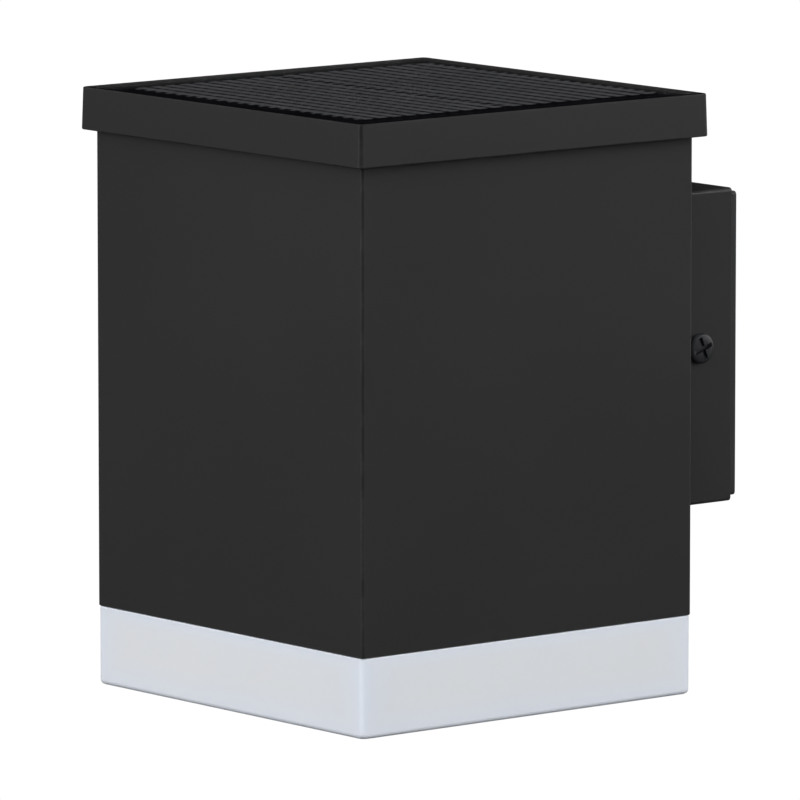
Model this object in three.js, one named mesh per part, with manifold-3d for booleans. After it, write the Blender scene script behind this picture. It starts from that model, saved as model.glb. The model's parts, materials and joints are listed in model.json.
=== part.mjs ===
// Solar wall lantern: a square body on a wall bracket, a solar cap above it and a frosted diffuser below.
// Millimetres, +Z up, the front faces -Y. The origin is the centre of the wall plate's back face.
import * as THREE from 'three';
import { mergeVertices } from 'three/addons/utils/BufferGeometryUtils.js';
import Module from 'manifold-3d';

const wasm = await Module();
wasm.setup();

// Fits
const seat = 0.1; // between faces that rest on each other
const clearance = 0.3; // between pieces that slide or plug together
const boreGap = 0.1; // around a shank in its thread
const holeGap = 0.25; // around a shank in a plain hole
const through = 1; // how far a cutter runs past the face it opens
const roundSides = 16; // sides of a plain round
const smallSides = 12; // sides of a small screw

// Body
const bodyWidth = 110;
const bodyDepth = 110;
const bodyWall = 2;
const bodyCorner = 0.8;
const lampHeight = 136.5; // cap's top down to the body's lower edge
const ledgeHeight = 4.2; // body's lower edge up to the ledge
const ledgeThick = 2;
const ledgeWidth = 7;
const bossRadius = 4.5;
const bossLength = 8;

// Cap and solar panel
const capSkirt = 11.2;
const capOverhang = 2.6;
const capFlare = 0.37; // on each side, from the top down to the skirt's lower edge
const capCorner = 1;
const capRim = 1.6;
const capRecess = 2.8;
const capDeck = 2;
const collarDepth = 7;
const collarWall = 1.6;
const capGasketThick = 1.2;
const adhesiveThick = 0.5;
const adhesiveWidth = 8;
const panelThick = 1.35;
const cellThick = 0.3;
const cellBorder = 6.9; // cap's front or back edge to a cell
const cellWidthX = 94.4;
const cellShift = -1.1; // the terminals take the wider border on +X
const cellGap = 1.8;
const coverThick = 0.15;
const grommetHole = 4;
const grommetBore = 2.2;
const grommetFlange = 5.4;
const grommetLip = 1;

// Diffuser
const diffuserHeight = 20.7;
const diffuserWall = 2;
const diffuserCorner = 1.6;
const lipWall = 2;
const diffuserGasketThick = 0.8;
const postRadius = 3;
const postInset = 3.5; // body's inner wall to a post's axis
const postBoreDepth = 9;

// Canopy and wall bracket
const capTopHeight = 69.1; // cap's top above the canopy's centre
const canopySize = 82.8;
const canopyDepth = 25.3;
const canopyWall = 1.2;
const canopyFront = 1.5;
const canopyCorner = 1;
const canopyScrewSpan = 56;
const plateThick = 2.2;
const plateCorner = 1;
const tabThick = 1.5;
const tabReach = 21; // wall to the tab's front end
const tabHeight = 28;
const wallSlotSpan = 50;
const wallSlotLength = 12;
const wallSlotWidth = 5;
const sideScrewFromBody = 14.1;
const sideScrewTurn = 0.42; // how far the recess is turned from level, in radians

// Screws: shank radius, head radius, head height and recess sizes
const m4 = { shank: 2, head: 4, rise: 2.6, recess: 4.6, slot: 0.95, depth: 1.5 };
const lowM4 = { shank: 2, head: 4, rise: 1.2, recess: 5.6, slot: 0.95, depth: 0.9 };
const m3 = { shank: 1.5, head: 2.8, rise: 2, recess: 3, slot: 0.7, depth: 1.1 };
const sideScrewLength = 8;
const canopyScrewLength = 8;
const trayScrewLength = 12;
const boardScrewLength = 5;
const holderScrewLength = 3;
const washerThick = 0.5;
const washerRadius = 3.6;
const nutWidth = 7;
const nutThick = 3.2;

// Inner tray and what stands on it
const trayThick = 1.2;
const pillarHeight = 4;
const pillarRadius = 3;
const ledBoardSize = 70;
const ledBoardThick = 1.6;
const ledBoardScrewSpan = 56;
const ledCount = 6;
const ledSize = 3.5;
const ledThick = 0.8;
const ledRing = 20;
const boardWidth = 62;
const boardDepth = 34;
const boardThick = 1.6;
const boardSwitchGap = 9; // between the board and the power switch
const boardScrewSpan = 54;
const boardScrewShift = 12; // behind the board's centre
const chipSize = 9;
const chipThick = 1.8;
const coilRadius = 5;
const coilHeight = 6;
const coilX = 16;
const coilShift = 4; // in front of the board's centre
const socketX = -18;
const socketWidth = 9;
const socketDepth = 7;
const socketHeight = 7;
const socketWall = 0.9;
const socketFloor = 1.5;
const plugRise = 4; // plug's height above the socket

// Battery
const cellRadius = 9;
const cellLength = 65;
const batteryBoardGap = 11.7; // between the holder and the board
const batteryLift = 2; // holder's floor thickness
const holderWall = 2;
const holderRise = 3.7; // the holder's walls above the cell's axis
const contactThick = 0.6;
const contactWidth = 12;
const contactHeight = 11;
const springLength = 4;
const springRadius = 3.2;
const springWire = 0.45;
const springTurns = 3;
const earReach = 3.7; // from the holder's side to an ear's screw
const earWidth = 10;
const earThick = 2;

// Power switch in the back wall
const switchHeight = 18; // body's lower edge up to the switch's axis
const barrelRadius = 5.5;
const barrelLength = 10;
const bezelLip = 1.1; // bezel's edge outside the barrel
const bezelThick = 2;
const switchSealThick = 0.8;
const switchBoxDepth = 7;
const switchNutWall = 1.5; // barrel to the nut's corners
const switchNutThick = 3;
const buttonRadius = 3.8;
const buttonRise = 3; // how far it stands out of the bezel
const buttonDepth = 5; // how far it reaches into the barrel
const buttonTravel = 2.5;

// Leads
const leadRadius = 0.7;
const leadGap = 1.8; // between the two leads of a pair
const leadHole = 3.2;

// Worked-out places in the wall's frame
const canopyBack = -plateThick - clearance;
const canopyEnd = canopyBack - canopyDepth;
const bodyBack = canopyEnd - seat;
const sideScrewY = bodyBack + sideScrewFromBody;
const canopyInner = canopySize / 2 - canopyWall;
const tabOuter = canopyInner - clearance;
const tabInner = tabOuter - tabThick;

// Worked-out heights in the lamp's frame, where z = 0 is the body's lower edge
const canopyZ = lampHeight - capTopHeight;
const innerWidth = bodyWidth - 2 * bodyWall;
const innerDepth = bodyDepth - 2 * bodyWall;
const deckTop = lampHeight - capRecess;
const deckUnder = deckTop - capDeck;
const bodyTop = deckUnder - capGasketThick - 2 * seat;
const trayBottom = ledgeHeight + ledgeThick + seat;
const trayTop = trayBottom + trayThick;
const diffuserTop = ledgeHeight - diffuserGasketThick - 2 * seat;
const boardBottom = trayTop + pillarHeight + seat;
const boardTop = boardBottom + boardThick;
const ledBoardUnder = trayBottom - seat - ledBoardThick;
const holderFloor = trayTop + seat;
const batteryZ = holderFloor + batteryLift + clearance + cellRadius;
const panelUnder = deckTop + adhesiveThick + 2 * seat;
const panelTop = panelUnder + panelThick;
const channelLength = cellLength + 2 * contactThick + springLength + 5 * clearance;
const holderLength = channelLength + 2 * holderWall;
const holderWidth = 2 * (cellRadius + clearance + holderWall);
const switchEnd = bodyDepth / 2 - barrelLength - switchBoxDepth;
const boardY = switchEnd - boardSwitchGap - boardDepth / 2;
const batteryY = boardY - boardDepth / 2 - batteryBoardGap - holderWidth / 2;
const earSpan = holderWidth + 2 * earReach;
const bezelRadius = barrelRadius + bezelLip;
const switchNutRadius = barrelRadius + switchNutWall;
const postX = innerWidth / 2 - postInset;
const postY = innerDepth / 2 - postInset;
const socketPlace = new THREE.Vector3(socketX, boardY, boardTop + seat);

// Finishes
const black = { color: 0x161617, roughness: 0.5, metalness: 0 };
const steel = { color: 0xb4b6b8, roughness: 0.35, metalness: 1 };
const darkSteel = { color: 0x1c1e22, roughness: 0.4, metalness: 0.8 };
const rubber = { color: 0x101010, roughness: 0.85, metalness: 0 };
const frosted = { color: 0xe4e8ee, roughness: 0.45, metalness: 0 };
const glossBlack = { color: 0x0c0c0e, roughness: 0.15, metalness: 0 };
const silicon = { color: 0x16181f, roughness: 0.3, metalness: 0.2 };
const clear = { color: 0x202226, roughness: 0.08, metalness: 0 };
const white = { color: 0xe9e9e6, roughness: 0.5, metalness: 0 };
const boardGreen = { color: 0x1d5a34, roughness: 0.45, metalness: 0 };
const ledYellow = { color: 0xe8c95a, roughness: 0.35, metalness: 0 };
const ferrite = { color: 0x3a3836, roughness: 0.7, metalness: 0 };
const redPlastic = { color: 0xb02020, roughness: 0.5, metalness: 0 };
const batteryGreen = { color: 0x2c7a4b, roughness: 0.35, metalness: 0 };

// ---- Solids ----

// A closed manifold solid from any closed geometry.
function solid(geometry) {
  geometry.deleteAttribute('normal');
  geometry.deleteAttribute('uv');
  const merged = mergeVertices(geometry, 1e-4);
  const corners = merged.index.array;
  const triVerts = [];
  for (let i = 0; i < corners.length; i += 3) {
    const [a, b, c] = [corners[i], corners[i + 1], corners[i + 2]];
    if (a !== b && b !== c && c !== a) triVerts.push(a, b, c);
  }
  const mesh = new wasm.Mesh({
    numProp: 3,
    vertProperties: new Float32Array(merged.attributes.position.array),
    triVerts: new Uint32Array(triVerts),
  });
  return new wasm.Manifold(mesh);
}

// The geometry of a manifold solid.
function geometryOf(shape) {
  const mesh = shape.getMesh();
  const geometry = new THREE.BufferGeometry();
  geometry.setAttribute('position', new THREE.Float32BufferAttribute(mesh.vertProperties, 3));
  geometry.setIndex(Array.from(mesh.triVerts));
  geometry.computeVertexNormals();
  return geometry;
}

// A box between two values on each axis.
function block(x, y, z) {
  const geometry = new THREE.BoxGeometry(x[1] - x[0], y[1] - y[0], z[1] - z[0]);
  geometry.translate((x[0] + x[1]) / 2, (y[0] + y[1]) / 2, (z[0] + z[1]) / 2);
  return solid(geometry);
}

// A rectangle with round corners, centred on the shape's origin.
function roundedRectangle(width, height, radius) {
  const x = width / 2 - radius;
  const y = height / 2 - radius;
  const shape = new THREE.Shape();
  shape.absarc(x, y, radius, 0, 0.5 * Math.PI);
  shape.absarc(-x, y, radius, 0.5 * Math.PI, Math.PI);
  shape.absarc(-x, -y, radius, Math.PI, 1.5 * Math.PI);
  shape.absarc(x, -y, radius, 1.5 * Math.PI, 2 * Math.PI);
  return shape;
}

// An outline in X and Y, raised between two heights.
function raised(shape, z, curveSegments = 3) {
  const depth = z[1] - z[0];
  const geometry = new THREE.ExtrudeGeometry(shape, { depth, bevelEnabled: false, curveSegments });
  return solid(geometry.translate(0, 0, z[0]));
}

// An outline in X and Z, drawn out between two values of Y.
function drawnOut(shape, y, curveSegments = 3) {
  const depth = y[1] - y[0];
  const geometry = new THREE.ExtrudeGeometry(shape, { depth, bevelEnabled: false, curveSegments });
  return solid(geometry.rotateX(Math.PI / 2).translate(0, y[1], 0));
}

// A cylinder along x, y or z, between two values on that axis and centred on the other two.
function rod(axis, radius, span, centre, sides = roundSides) {
  const geometry = new THREE.CylinderGeometry(radius, radius, span[1] - span[0], sides);
  const middle = (span[0] + span[1]) / 2;
  if (axis === 'x') geometry.rotateZ(Math.PI / 2).translate(middle, centre[0], centre[1]);
  if (axis === 'y') geometry.translate(centre[0], middle, centre[1]);
  if (axis === 'z') geometry.rotateX(Math.PI / 2).translate(centre[0], centre[1], middle);
  return solid(geometry);
}

// Joins every solid in a list.
function joined(solids) {
  return solids.reduce((sum, next) => sum.add(next));
}

// Cuts every solid in a list from the first one.
function cut(base, cutters) {
  return cutters.reduce((rest, next) => rest.subtract(next), base);
}

// A square frame between two outlines.
function frame(outer, inner, z) {
  return raised(outer, z).subtract(raised(inner, [z[0] - through, z[1] + through]));
}

// The four places at plus and minus a half span on each axis.
function corners(x, y) {
  return [[x, y], [-x, y], [-x, -y], [x, -y]];
}

// A named mesh.
function piece(name, finish, shape) {
  const geometry = shape.isBufferGeometry ? shape : geometryOf(shape);
  const mesh = new THREE.Mesh(geometry, new THREE.MeshStandardMaterial(finish));
  mesh.name = name;
  return mesh;
}

// ---- Fasteners ----

// A pan head screw with a cross recess. The head stands on +Z above z = 0 and the shank runs down.
function panHeadScrew(size, length, sides) {
  const rim = 0.55 * size.rise;
  const profile = [
    new THREE.Vector2(0, -length),
    new THREE.Vector2(size.shank - 0.4, -length),
    new THREE.Vector2(size.shank, -length + 0.6),
    new THREE.Vector2(size.shank, 0),
    new THREE.Vector2(size.head, 0),
    new THREE.Vector2(size.head, rim),
    new THREE.Vector2(0.9 * size.head, 0.8 * size.rise),
    new THREE.Vector2(0.6 * size.head, size.rise),
    new THREE.Vector2(0, size.rise),
  ];
  const turned = new THREE.LatheGeometry(profile, sides).rotateX(Math.PI / 2);
  const arm = size.recess / 2;
  const half = size.slot / 2;
  const recess = [size.rise - size.depth, size.rise + through];
  const crossed = joined([
    block([-arm, arm], [-half, half], recess),
    block([-half, half], [-arm, arm], recess),
  ]);
  return solid(turned).subtract(crossed);
}

// A screw as a mesh, standing at a place with its head towards a direction.
function screw(name, finish, size, length, place, towards) {
  const mesh = piece(name, finish, panHeadScrew(size, length, smallSides));
  mesh.position.copy(place);
  mesh.quaternion.setFromUnitVectors(new THREE.Vector3(0, 0, 1), towards);
  return mesh;
}

// A flat ring along x between two values of x.
function sideRing(outer, inner, x) {
  const hole = rod('x', inner, [x[0] - through, x[1] + through], [sideScrewY, 0]);
  return rod('x', outer, x, [sideScrewY, 0]).subtract(hole);
}

// ---- Wall bracket ----

function wallPlate() {
  const size = canopySize - 2 * canopyWall;
  const plate = drawnOut(roundedRectangle(size, size, plateCorner), [-plateThick, 0]);
  const slotRadius = m4.shank + clearance;
  const tabs = [];
  for (const side of [-1, 1]) {
    const x = [side * tabInner, side * tabOuter].sort((a, b) => a - b);
    const cutX = [x[0] - through, x[1] + through];
    const tab = block(x, [-tabReach, -plateThick / 2], [-tabHeight / 2, tabHeight / 2]);
    const mouth = [-tabReach - through, sideScrewY];
    const slotEnd = rod('x', slotRadius, cutX, [sideScrewY, 0]);
    const slot = block(cutX, mouth, [-slotRadius, slotRadius]);
    tabs.push(cut(tab, [slotEnd, slot]));
  }
  return cut(joined([plate, ...tabs]), wallSlots());
}

// Two level and two upright slots for the wall screws.
function wallSlots() {
  const ends = [-plateThick - through, through];
  const level = roundedRectangle(wallSlotLength, wallSlotWidth, wallSlotWidth / 2);
  const upright = roundedRectangle(wallSlotWidth, wallSlotLength, wallSlotWidth / 2);
  const reach = wallSlotSpan / 2;
  return [
    drawnOut(level, ends, 4).translate([reach, 0, 0]),
    drawnOut(level, ends, 4).translate([-reach, 0, 0]),
    drawnOut(upright, ends, 4).translate([0, 0, reach]),
    drawnOut(upright, ends, 4).translate([0, 0, -reach]),
  ];
}

// ---- Canopy and side screws ----

function canopy() {
  const size = canopySize;
  const inner = size - 2 * canopyWall;
  const outside = drawnOut(roundedRectangle(size, size, canopyCorner), [canopyEnd, canopyBack]);
  const hollow = [canopyEnd + canopyFront, canopyBack + through];
  const inside = drawnOut(roundedRectangle(inner, inner, canopyCorner / 2), hollow);
  const span = canopyScrewSpan / 2;
  const frontHoles = corners(span, span).map((at) =>
    rod('y', m4.shank + holeGap, [canopyEnd - through, canopyEnd + canopyFront + through], at));
  const sideHole = rod('x', m4.shank + holeGap, [-size, size], [sideScrewY, 0]);
  return cut(outside, [inside, sideHole, ...frontHoles]);
}

// The screw, lock washer and square nut on one side. side is 1 on +X and -1 on -X.
function sideFastener(name, side) {
  const group = new THREE.Group();
  const wallFace = canopySize / 2;
  const washerX = [wallFace + seat, wallFace + seat + washerThick];
  const nutX = [tabInner - seat - nutThick, tabInner - seat];
  const half = nutWidth / 2;
  const bore = rod('x', m4.shank + boreGap, [nutX[0] - through, nutX[1] + through], [sideScrewY, 0]);
  const nut = block(nutX, [sideScrewY - half, sideScrewY + half], [-half, half]).subtract(bore);
  const washer = sideRing(washerRadius, m4.shank + boreGap, washerX);
  const head = new THREE.Vector3(side * (washerX[1] + seat), sideScrewY, 0);
  const turned = piece(`${name}_screw`, darkSteel, panHeadScrew(lowM4, sideScrewLength, 2 * roundSides));
  turned.position.copy(head);
  turned.rotation.set(sideScrewTurn, side * Math.PI / 2, 0);
  group.add(turned);
  const mirror = (shape) => (side < 0 ? shape.mirror([1, 0, 0]) : shape);
  group.add(piece(`${name}_washer`, steel, mirror(washer)));
  group.add(piece(`${name}_nut`, steel, mirror(nut)));
  return group;
}

// ---- Body ----

function bodyShell() {
  const outside = raised(roundedRectangle(bodyWidth, bodyDepth, bodyCorner), [0, bodyTop]);
  const insideOutline = roundedRectangle(innerWidth, innerDepth, bodyCorner / 2);
  const inside = raised(insideOutline, [-through, bodyTop + through]);
  const ledgeOuter = roundedRectangle(innerWidth + bodyWall, innerDepth + bodyWall, bodyCorner / 2);
  const ledgeInner = roundedRectangle(innerWidth - 2 * ledgeWidth, innerDepth - 2 * ledgeWidth, 2);
  const ledge = frame(ledgeOuter, ledgeInner, [ledgeHeight, ledgeHeight + ledgeThick]);
  const wallInner = innerDepth / 2;
  const bosses = bossPlaces().map((at) =>
    rod('y', bossRadius, [wallInner - bossLength, wallInner + bodyWall / 2], at));
  const bores = bossPlaces().map((at) =>
    rod('y', m4.shank + boreGap, [wallInner - bossLength - through, bodyDepth / 2 + through], at));
  const ledgeHoles = corners(postX, postY).map((at) =>
    rod('z', m3.shank + holeGap, [ledgeHeight - through, ledgeHeight + ledgeThick + through], at));
  const switchSpan = [wallInner - through, bodyDepth / 2 + through];
  const switchHole = rod('y', barrelRadius + holeGap, switchSpan, [0, switchHeight]);
  return cut(joined([cut(outside, [inside]), ledge, ...bosses]), [...bores, ...ledgeHoles, switchHole]);
}

// Where the canopy screws go into the back wall, as x and z.
function bossPlaces() {
  const span = canopyScrewSpan / 2;
  return corners(span, span).map(([x, z]) => [x, z + canopyZ]);
}

function diffuser() {
  const bottom = -seat - diffuserHeight;
  const outside = raised(roundedRectangle(bodyWidth, bodyDepth, diffuserCorner), [bottom, -seat], 4);
  const hollow = roundedRectangle(bodyWidth - 2 * diffuserWall, bodyDepth - 2 * diffuserWall, 1);
  const inside = raised(hollow, [bottom + diffuserWall, through]);
  const lipOuter = roundedRectangle(innerWidth - 2 * clearance, innerDepth - 2 * clearance, 0.5);
  const lipWidth = innerWidth - 2 * clearance - 2 * lipWall;
  const lipDepth = innerDepth - 2 * clearance - 2 * lipWall;
  const lip = frame(lipOuter, roundedRectangle(lipWidth, lipDepth, 0.5), [-2 * diffuserWall, diffuserTop]);
  const posts = corners(postX, postY).map((at) =>
    rod('z', postRadius, [bottom + diffuserWall / 2, diffuserTop], at));
  const bores = corners(postX, postY).map((at) =>
    rod('z', m3.shank + boreGap, [diffuserTop - postBoreDepth, diffuserTop + through], at));
  return cut(joined([cut(outside, [inside]), lip, ...posts]), bores);
}

function diffuserGasket() {
  const outer = roundedRectangle(innerWidth - 2 * clearance, innerDepth - 2 * clearance, 0.5);
  const inner = roundedRectangle(innerWidth - 2 * ledgeWidth, innerDepth - 2 * ledgeWidth, 2);
  const ring = frame(outer, inner, [diffuserTop + seat, diffuserTop + seat + diffuserGasketThick]);
  const holes = corners(postX, postY).map((at) =>
    rod('z', m3.shank + holeGap, [diffuserTop - through, ledgeHeight + through], at));
  return cut(ring, holes);
}

// ---- Cap and solar panel ----

// Widens an outline's solid towards its lower face, so that its sides slope out.
function flared(shape, z) {
  return shape.warp((vertex) => {
    const share = (z[1] - vertex[2]) / (z[1] - z[0]);
    vertex[0] += Math.sign(vertex[0]) * capFlare * share;
    vertex[1] += Math.sign(vertex[1]) * capFlare * share;
  });
}

function capShell() {
  const z = [lampHeight - capSkirt, lampHeight];
  const width = bodyWidth + 2 * capOverhang;
  const depth = bodyDepth + 2 * capOverhang;
  const outside = flared(raised(roundedRectangle(width, depth, capCorner), z, 4), z);
  const mouth = roundedRectangle(bodyWidth + 2 * clearance, bodyDepth + 2 * clearance, bodyCorner);
  const collarOuter = roundedRectangle(innerWidth - 2 * clearance, innerDepth - 2 * clearance, bodyCorner);
  const collarGap = 2 * (clearance + collarWall);
  const collarInner = roundedRectangle(innerWidth - collarGap, innerDepth - collarGap, bodyCorner / 2);
  const recessOutline = roundedRectangle(width - 2 * capRim, depth - 2 * capRim, 1);
  const recess = raised(recessOutline, [deckTop, lampHeight + through]);
  const grommet = rod('z', grommetHole, [deckUnder - through, deckTop + through], leadPlace());
  const hollow = raised(mouth, [z[0] - through, deckUnder]);
  const collar = frame(collarOuter, collarInner, [deckUnder - collarDepth, deckUnder + capDeck / 2]);
  return cut(outside, [recess, hollow]).add(collar).subtract(grommet);
}

function capGasket() {
  const outer = roundedRectangle(bodyWidth, bodyDepth, bodyCorner);
  const inner = roundedRectangle(innerWidth, innerDepth, bodyCorner);
  return frame(outer, inner, [bodyTop + seat, bodyTop + seat + capGasketThick]);
}

// Where the solar leads come through the cap's deck.
function leadPlace() {
  return [socketPlace.x, socketPlace.y];
}

// The panel's parts lie in the cap's recess, from the adhesive ring up to the cover sheet.
function solarPanel() {
  const width = bodyWidth + 2 * (capOverhang - capRim - clearance);
  const depth = bodyDepth + 2 * (capOverhang - capRim - clearance);
  const outline = roundedRectangle(width, depth, 0.8);
  const inner = roundedRectangle(width - 2 * adhesiveWidth, depth - 2 * adhesiveWidth, 0.8);
  const cellTop = panelTop + seat + cellThick;
  const group = new THREE.Group();
  group.add(piece('panel_adhesive', rubber, frame(outline, inner, [deckTop + seat, panelUnder - seat])));
  group.add(piece('panel_board', glossBlack, raised(outline, [panelUnder, panelTop])));
  const cellEnd = bodyDepth / 2 + capOverhang - cellBorder;
  const cellX = [cellShift - cellWidthX / 2, cellShift + cellWidthX / 2];
  const cellZ = [panelTop + seat, cellTop];
  group.add(piece('front_cell', silicon, block(cellX, [-cellEnd, -cellGap / 2], cellZ)));
  group.add(piece('back_cell', silicon, block(cellX, [cellGap / 2, cellEnd], cellZ)));
  group.add(piece('panel_cover', clear, raised(outline, [cellTop + seat, cellTop + seat + coverThick])));
  return group;
}

function leadGrommet() {
  const at = leadPlace();
  const neck = rod('z', grommetHole - clearance, [deckUnder - seat - grommetLip, deckTop], at);
  const flange = rod('z', grommetFlange, [deckUnder - seat - grommetLip, deckUnder - seat], at);
  const bore = rod('z', grommetBore, [deckUnder - grommetLip - through, deckTop + through], at);
  return cut(joined([neck, flange]), [bore]);
}

// ---- Inner tray ----

function innerTray() {
  const outline = roundedRectangle(innerWidth - 2 * clearance, innerDepth - 2 * clearance, 1);
  const plate = raised(outline, [trayBottom, trayTop]);
  const pillars = boardScrewPlaces().map((at) =>
    rod('z', pillarRadius, [trayTop - trayThick / 2, trayTop + pillarHeight], at));
  const ends = [trayBottom - through, trayTop + pillarHeight + through];
  const tapped = [...boardScrewPlaces(), ...ledBoardScrewPlaces(), ...holderScrewPlaces()];
  const bores = tapped.map((at) => rod('z', m3.shank + boreGap, ends, at));
  const holes = corners(postX, postY).map((at) => rod('z', m3.shank + holeGap, ends, at));
  const wireHole = rod('z', leadHole, ends, ledLeadPlace());
  return cut(joined([plate, ...pillars]), [...bores, ...holes, wireHole]);
}

function boardScrewPlaces() {
  return [-1, 1].map((side) => [(side * boardScrewSpan) / 2, boardY + boardScrewShift]);
}

function ledBoardScrewPlaces() {
  return [-1, 1].map((side) => [(side * ledBoardScrewSpan) / 2, 0]);
}

function holderScrewPlaces() {
  return [-1, 1].map((side) => [0, batteryY + (side * earSpan) / 2]);
}

// Where the LED leads go down through the tray.
function ledLeadPlace() {
  return [ledBoardSize / 2 + leadHole + 1, boardY];
}

function ledBoard() {
  const z = [ledBoardUnder, trayBottom - seat];
  const plate = raised(roundedRectangle(ledBoardSize, ledBoardSize, 2), z);
  const holes = ledBoardScrewPlaces().map((at) =>
    rod('z', m3.shank + holeGap, [z[0] - through, z[1] + through], at));
  return cut(plate, holes);
}

function ledChips() {
  const group = new THREE.Group();
  const half = ledSize / 2;
  for (let i = 0; i < ledCount; i += 1) {
    const angle = ((i + 0.5) / ledCount) * 2 * Math.PI;
    const chip = piece(`led_chip_${i + 1}`, ledYellow, block([-half, half], [-half, half], [-ledThick, 0]));
    chip.position.set(ledRing * Math.cos(angle), ledRing * Math.sin(angle), ledBoardUnder - seat);
    group.add(chip);
  }
  return group;
}

function controlBoard() {
  const plate = block(
    [-boardWidth / 2, boardWidth / 2],
    [boardY - boardDepth / 2, boardY + boardDepth / 2],
    [boardBottom, boardTop],
  );
  const holes = boardScrewPlaces().map((at) =>
    rod('z', m3.shank + holeGap, [boardBottom - through, boardTop + through], at));
  return cut(plate, holes);
}

// An open-topped socket standing on the control board.
function solarSocket() {
  const { x, y, z } = socketPlace;
  const halfX = socketWidth / 2;
  const halfY = socketDepth / 2;
  const outside = block([x - halfX, x + halfX], [y - halfY, y + halfY], [z, z + socketHeight]);
  const inX = halfX - socketWall;
  const inY = halfY - socketWall;
  const depth = [z + socketFloor, z + socketHeight + through];
  const inside = block([x - inX, x + inX], [y - inY, y + inY], depth);
  return cut(outside, [inside]);
}

function solarPlug() {
  const { x, y, z } = socketPlace;
  const inX = socketWidth / 2 - socketWall - clearance;
  const inY = socketDepth / 2 - socketWall - clearance;
  return block([x - inX, x + inX], [y - inY, y + inY], [z + socketFloor + clearance, plugTop()]);
}

function plugTop() {
  return socketPlace.z + socketHeight + plugRise;
}

// ---- Battery ----

function batteryHolder() {
  const length = holderLength / 2;
  const width = holderWidth / 2;
  const top = batteryZ + holderRise;
  const outside = block([-length, length], [batteryY - width, batteryY + width], [holderFloor, top]);
  const ears = block(
    [-earWidth / 2, earWidth / 2],
    [batteryY - earSpan / 2 - earWidth / 2, batteryY + earSpan / 2 + earWidth / 2],
    [holderFloor, holderFloor + earThick],
  );
  const channel = [-channelLength / 2, channelLength / 2];
  const radius = cellRadius + clearance;
  const trough = rod('x', radius, channel, [batteryY, batteryZ], 2 * smallSides);
  const mouth = block(channel, [batteryY - radius, batteryY + radius], [batteryZ, top + through]);
  const holes = holderScrewPlaces().map((at) =>
    rod('z', m3.shank + holeGap, [holderFloor - through, holderFloor + earThick + through], at));
  return cut(joined([outside, ears]), [trough, mouth, ...holes]);
}

// The cell stands against the plus contact, with its narrower plus end on +X.
function batteryCell() {
  const end = channelLength / 2 - contactThick - 2 * clearance;
  const profile = [
    new THREE.Vector2(0, -cellLength),
    new THREE.Vector2(cellRadius - 1, -cellLength),
    new THREE.Vector2(cellRadius, -cellLength + 0.8),
    new THREE.Vector2(cellRadius, -2.4),
    new THREE.Vector2(cellRadius - 1, -1.4),
    new THREE.Vector2(3.2, -1.4),
    new THREE.Vector2(3.2, 0),
    new THREE.Vector2(0, 0),
  ];
  const turned = new THREE.LatheGeometry(profile, 2 * smallSides).rotateZ(-Math.PI / 2);
  return solid(turned.translate(end, batteryY, batteryZ));
}

function contactTop() {
  return batteryZ + contactHeight / 2 + 1;
}

// A contact plate against one end of the channel. side is 1 on +X and -1 on -X.
function contactPlate(side) {
  const outer = side * (channelLength / 2 - clearance);
  const inner = outer - side * contactThick;
  const x = [Math.min(outer, inner), Math.max(outer, inner)];
  const half = contactWidth / 2;
  const z = [contactTop() - contactHeight, contactTop()];
  return block(x, [batteryY - half, batteryY + half], z);
}

// The coil that presses on the cell's flat end, joined to its plate.
function contactSpring() {
  const start = -channelLength / 2 + clearance + contactThick / 2;
  const turns = springTurns * 2 * Math.PI;
  class Helix extends THREE.Curve {
    getPoint(t, target = new THREE.Vector3()) {
      const angle = t * turns;
      return target.set(
        start + t * (springLength - springWire),
        batteryY + springRadius * Math.cos(angle),
        batteryZ + springRadius * Math.sin(angle),
      );
    }
  }
  const wire = new THREE.Shape();
  wire.absarc(0, 0, springWire, 0, 2 * Math.PI);
  const geometry = new THREE.ExtrudeGeometry(wire, {
    extrudePath: new Helix(),
    steps: springTurns * 10,
    curveSegments: 2,
    bevelEnabled: false,
  });
  return contactPlate(-1).add(solid(geometry));
}

// ---- Power switch ----

// The switch's frame has its axis on +Y, with y = 0 on the body's back face.
function switchBody() {
  const bezel = rod('y', bezelRadius, [bezelFace() - bezelThick, bezelFace()], [0, 0]);
  const barrel = rod('y', barrelRadius, [-barrelLength, switchSealThick + 1], [0, 0]);
  const side = [-barrelRadius, barrelRadius];
  const box = block(side, [-barrelLength - switchBoxDepth, -barrelLength], side);
  const boreEnd = buttonInner() - buttonTravel - clearance;
  const bore = rod('y', buttonRadius + clearance, [boreEnd, bezelFace() + through], [0, 0]);
  return cut(joined([bezel, barrel, box]), [bore]);
}

function bezelFace() {
  return switchSealThick + 2 * seat + bezelThick;
}

function buttonInner() {
  return bezelFace() - buttonDepth;
}

function switchSeal() {
  const hole = rod('y', barrelRadius + seat, [-through, switchSealThick + through], [0, 0]);
  return rod('y', bezelRadius, [seat, seat + switchSealThick], [0, 0]).subtract(hole);
}

function switchNut() {
  const y = [-bodyWall - seat - switchNutThick, -bodyWall - seat];
  const hole = rod('y', barrelRadius + seat, [y[0] - through, y[1] + through], [0, 0]);
  return rod('y', switchNutRadius, y, [0, 0], 6).subtract(hole);
}

function powerButton() {
  const end = bezelFace() + buttonRise;
  const profile = [
    new THREE.Vector2(0, buttonInner()),
    new THREE.Vector2(buttonRadius, buttonInner()),
    new THREE.Vector2(buttonRadius, end - 0.8),
    new THREE.Vector2(buttonRadius - 0.8, end),
    new THREE.Vector2(0, end),
  ];
  return solid(new THREE.LatheGeometry(profile, roundSides));
}

// ---- Leads ----

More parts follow.
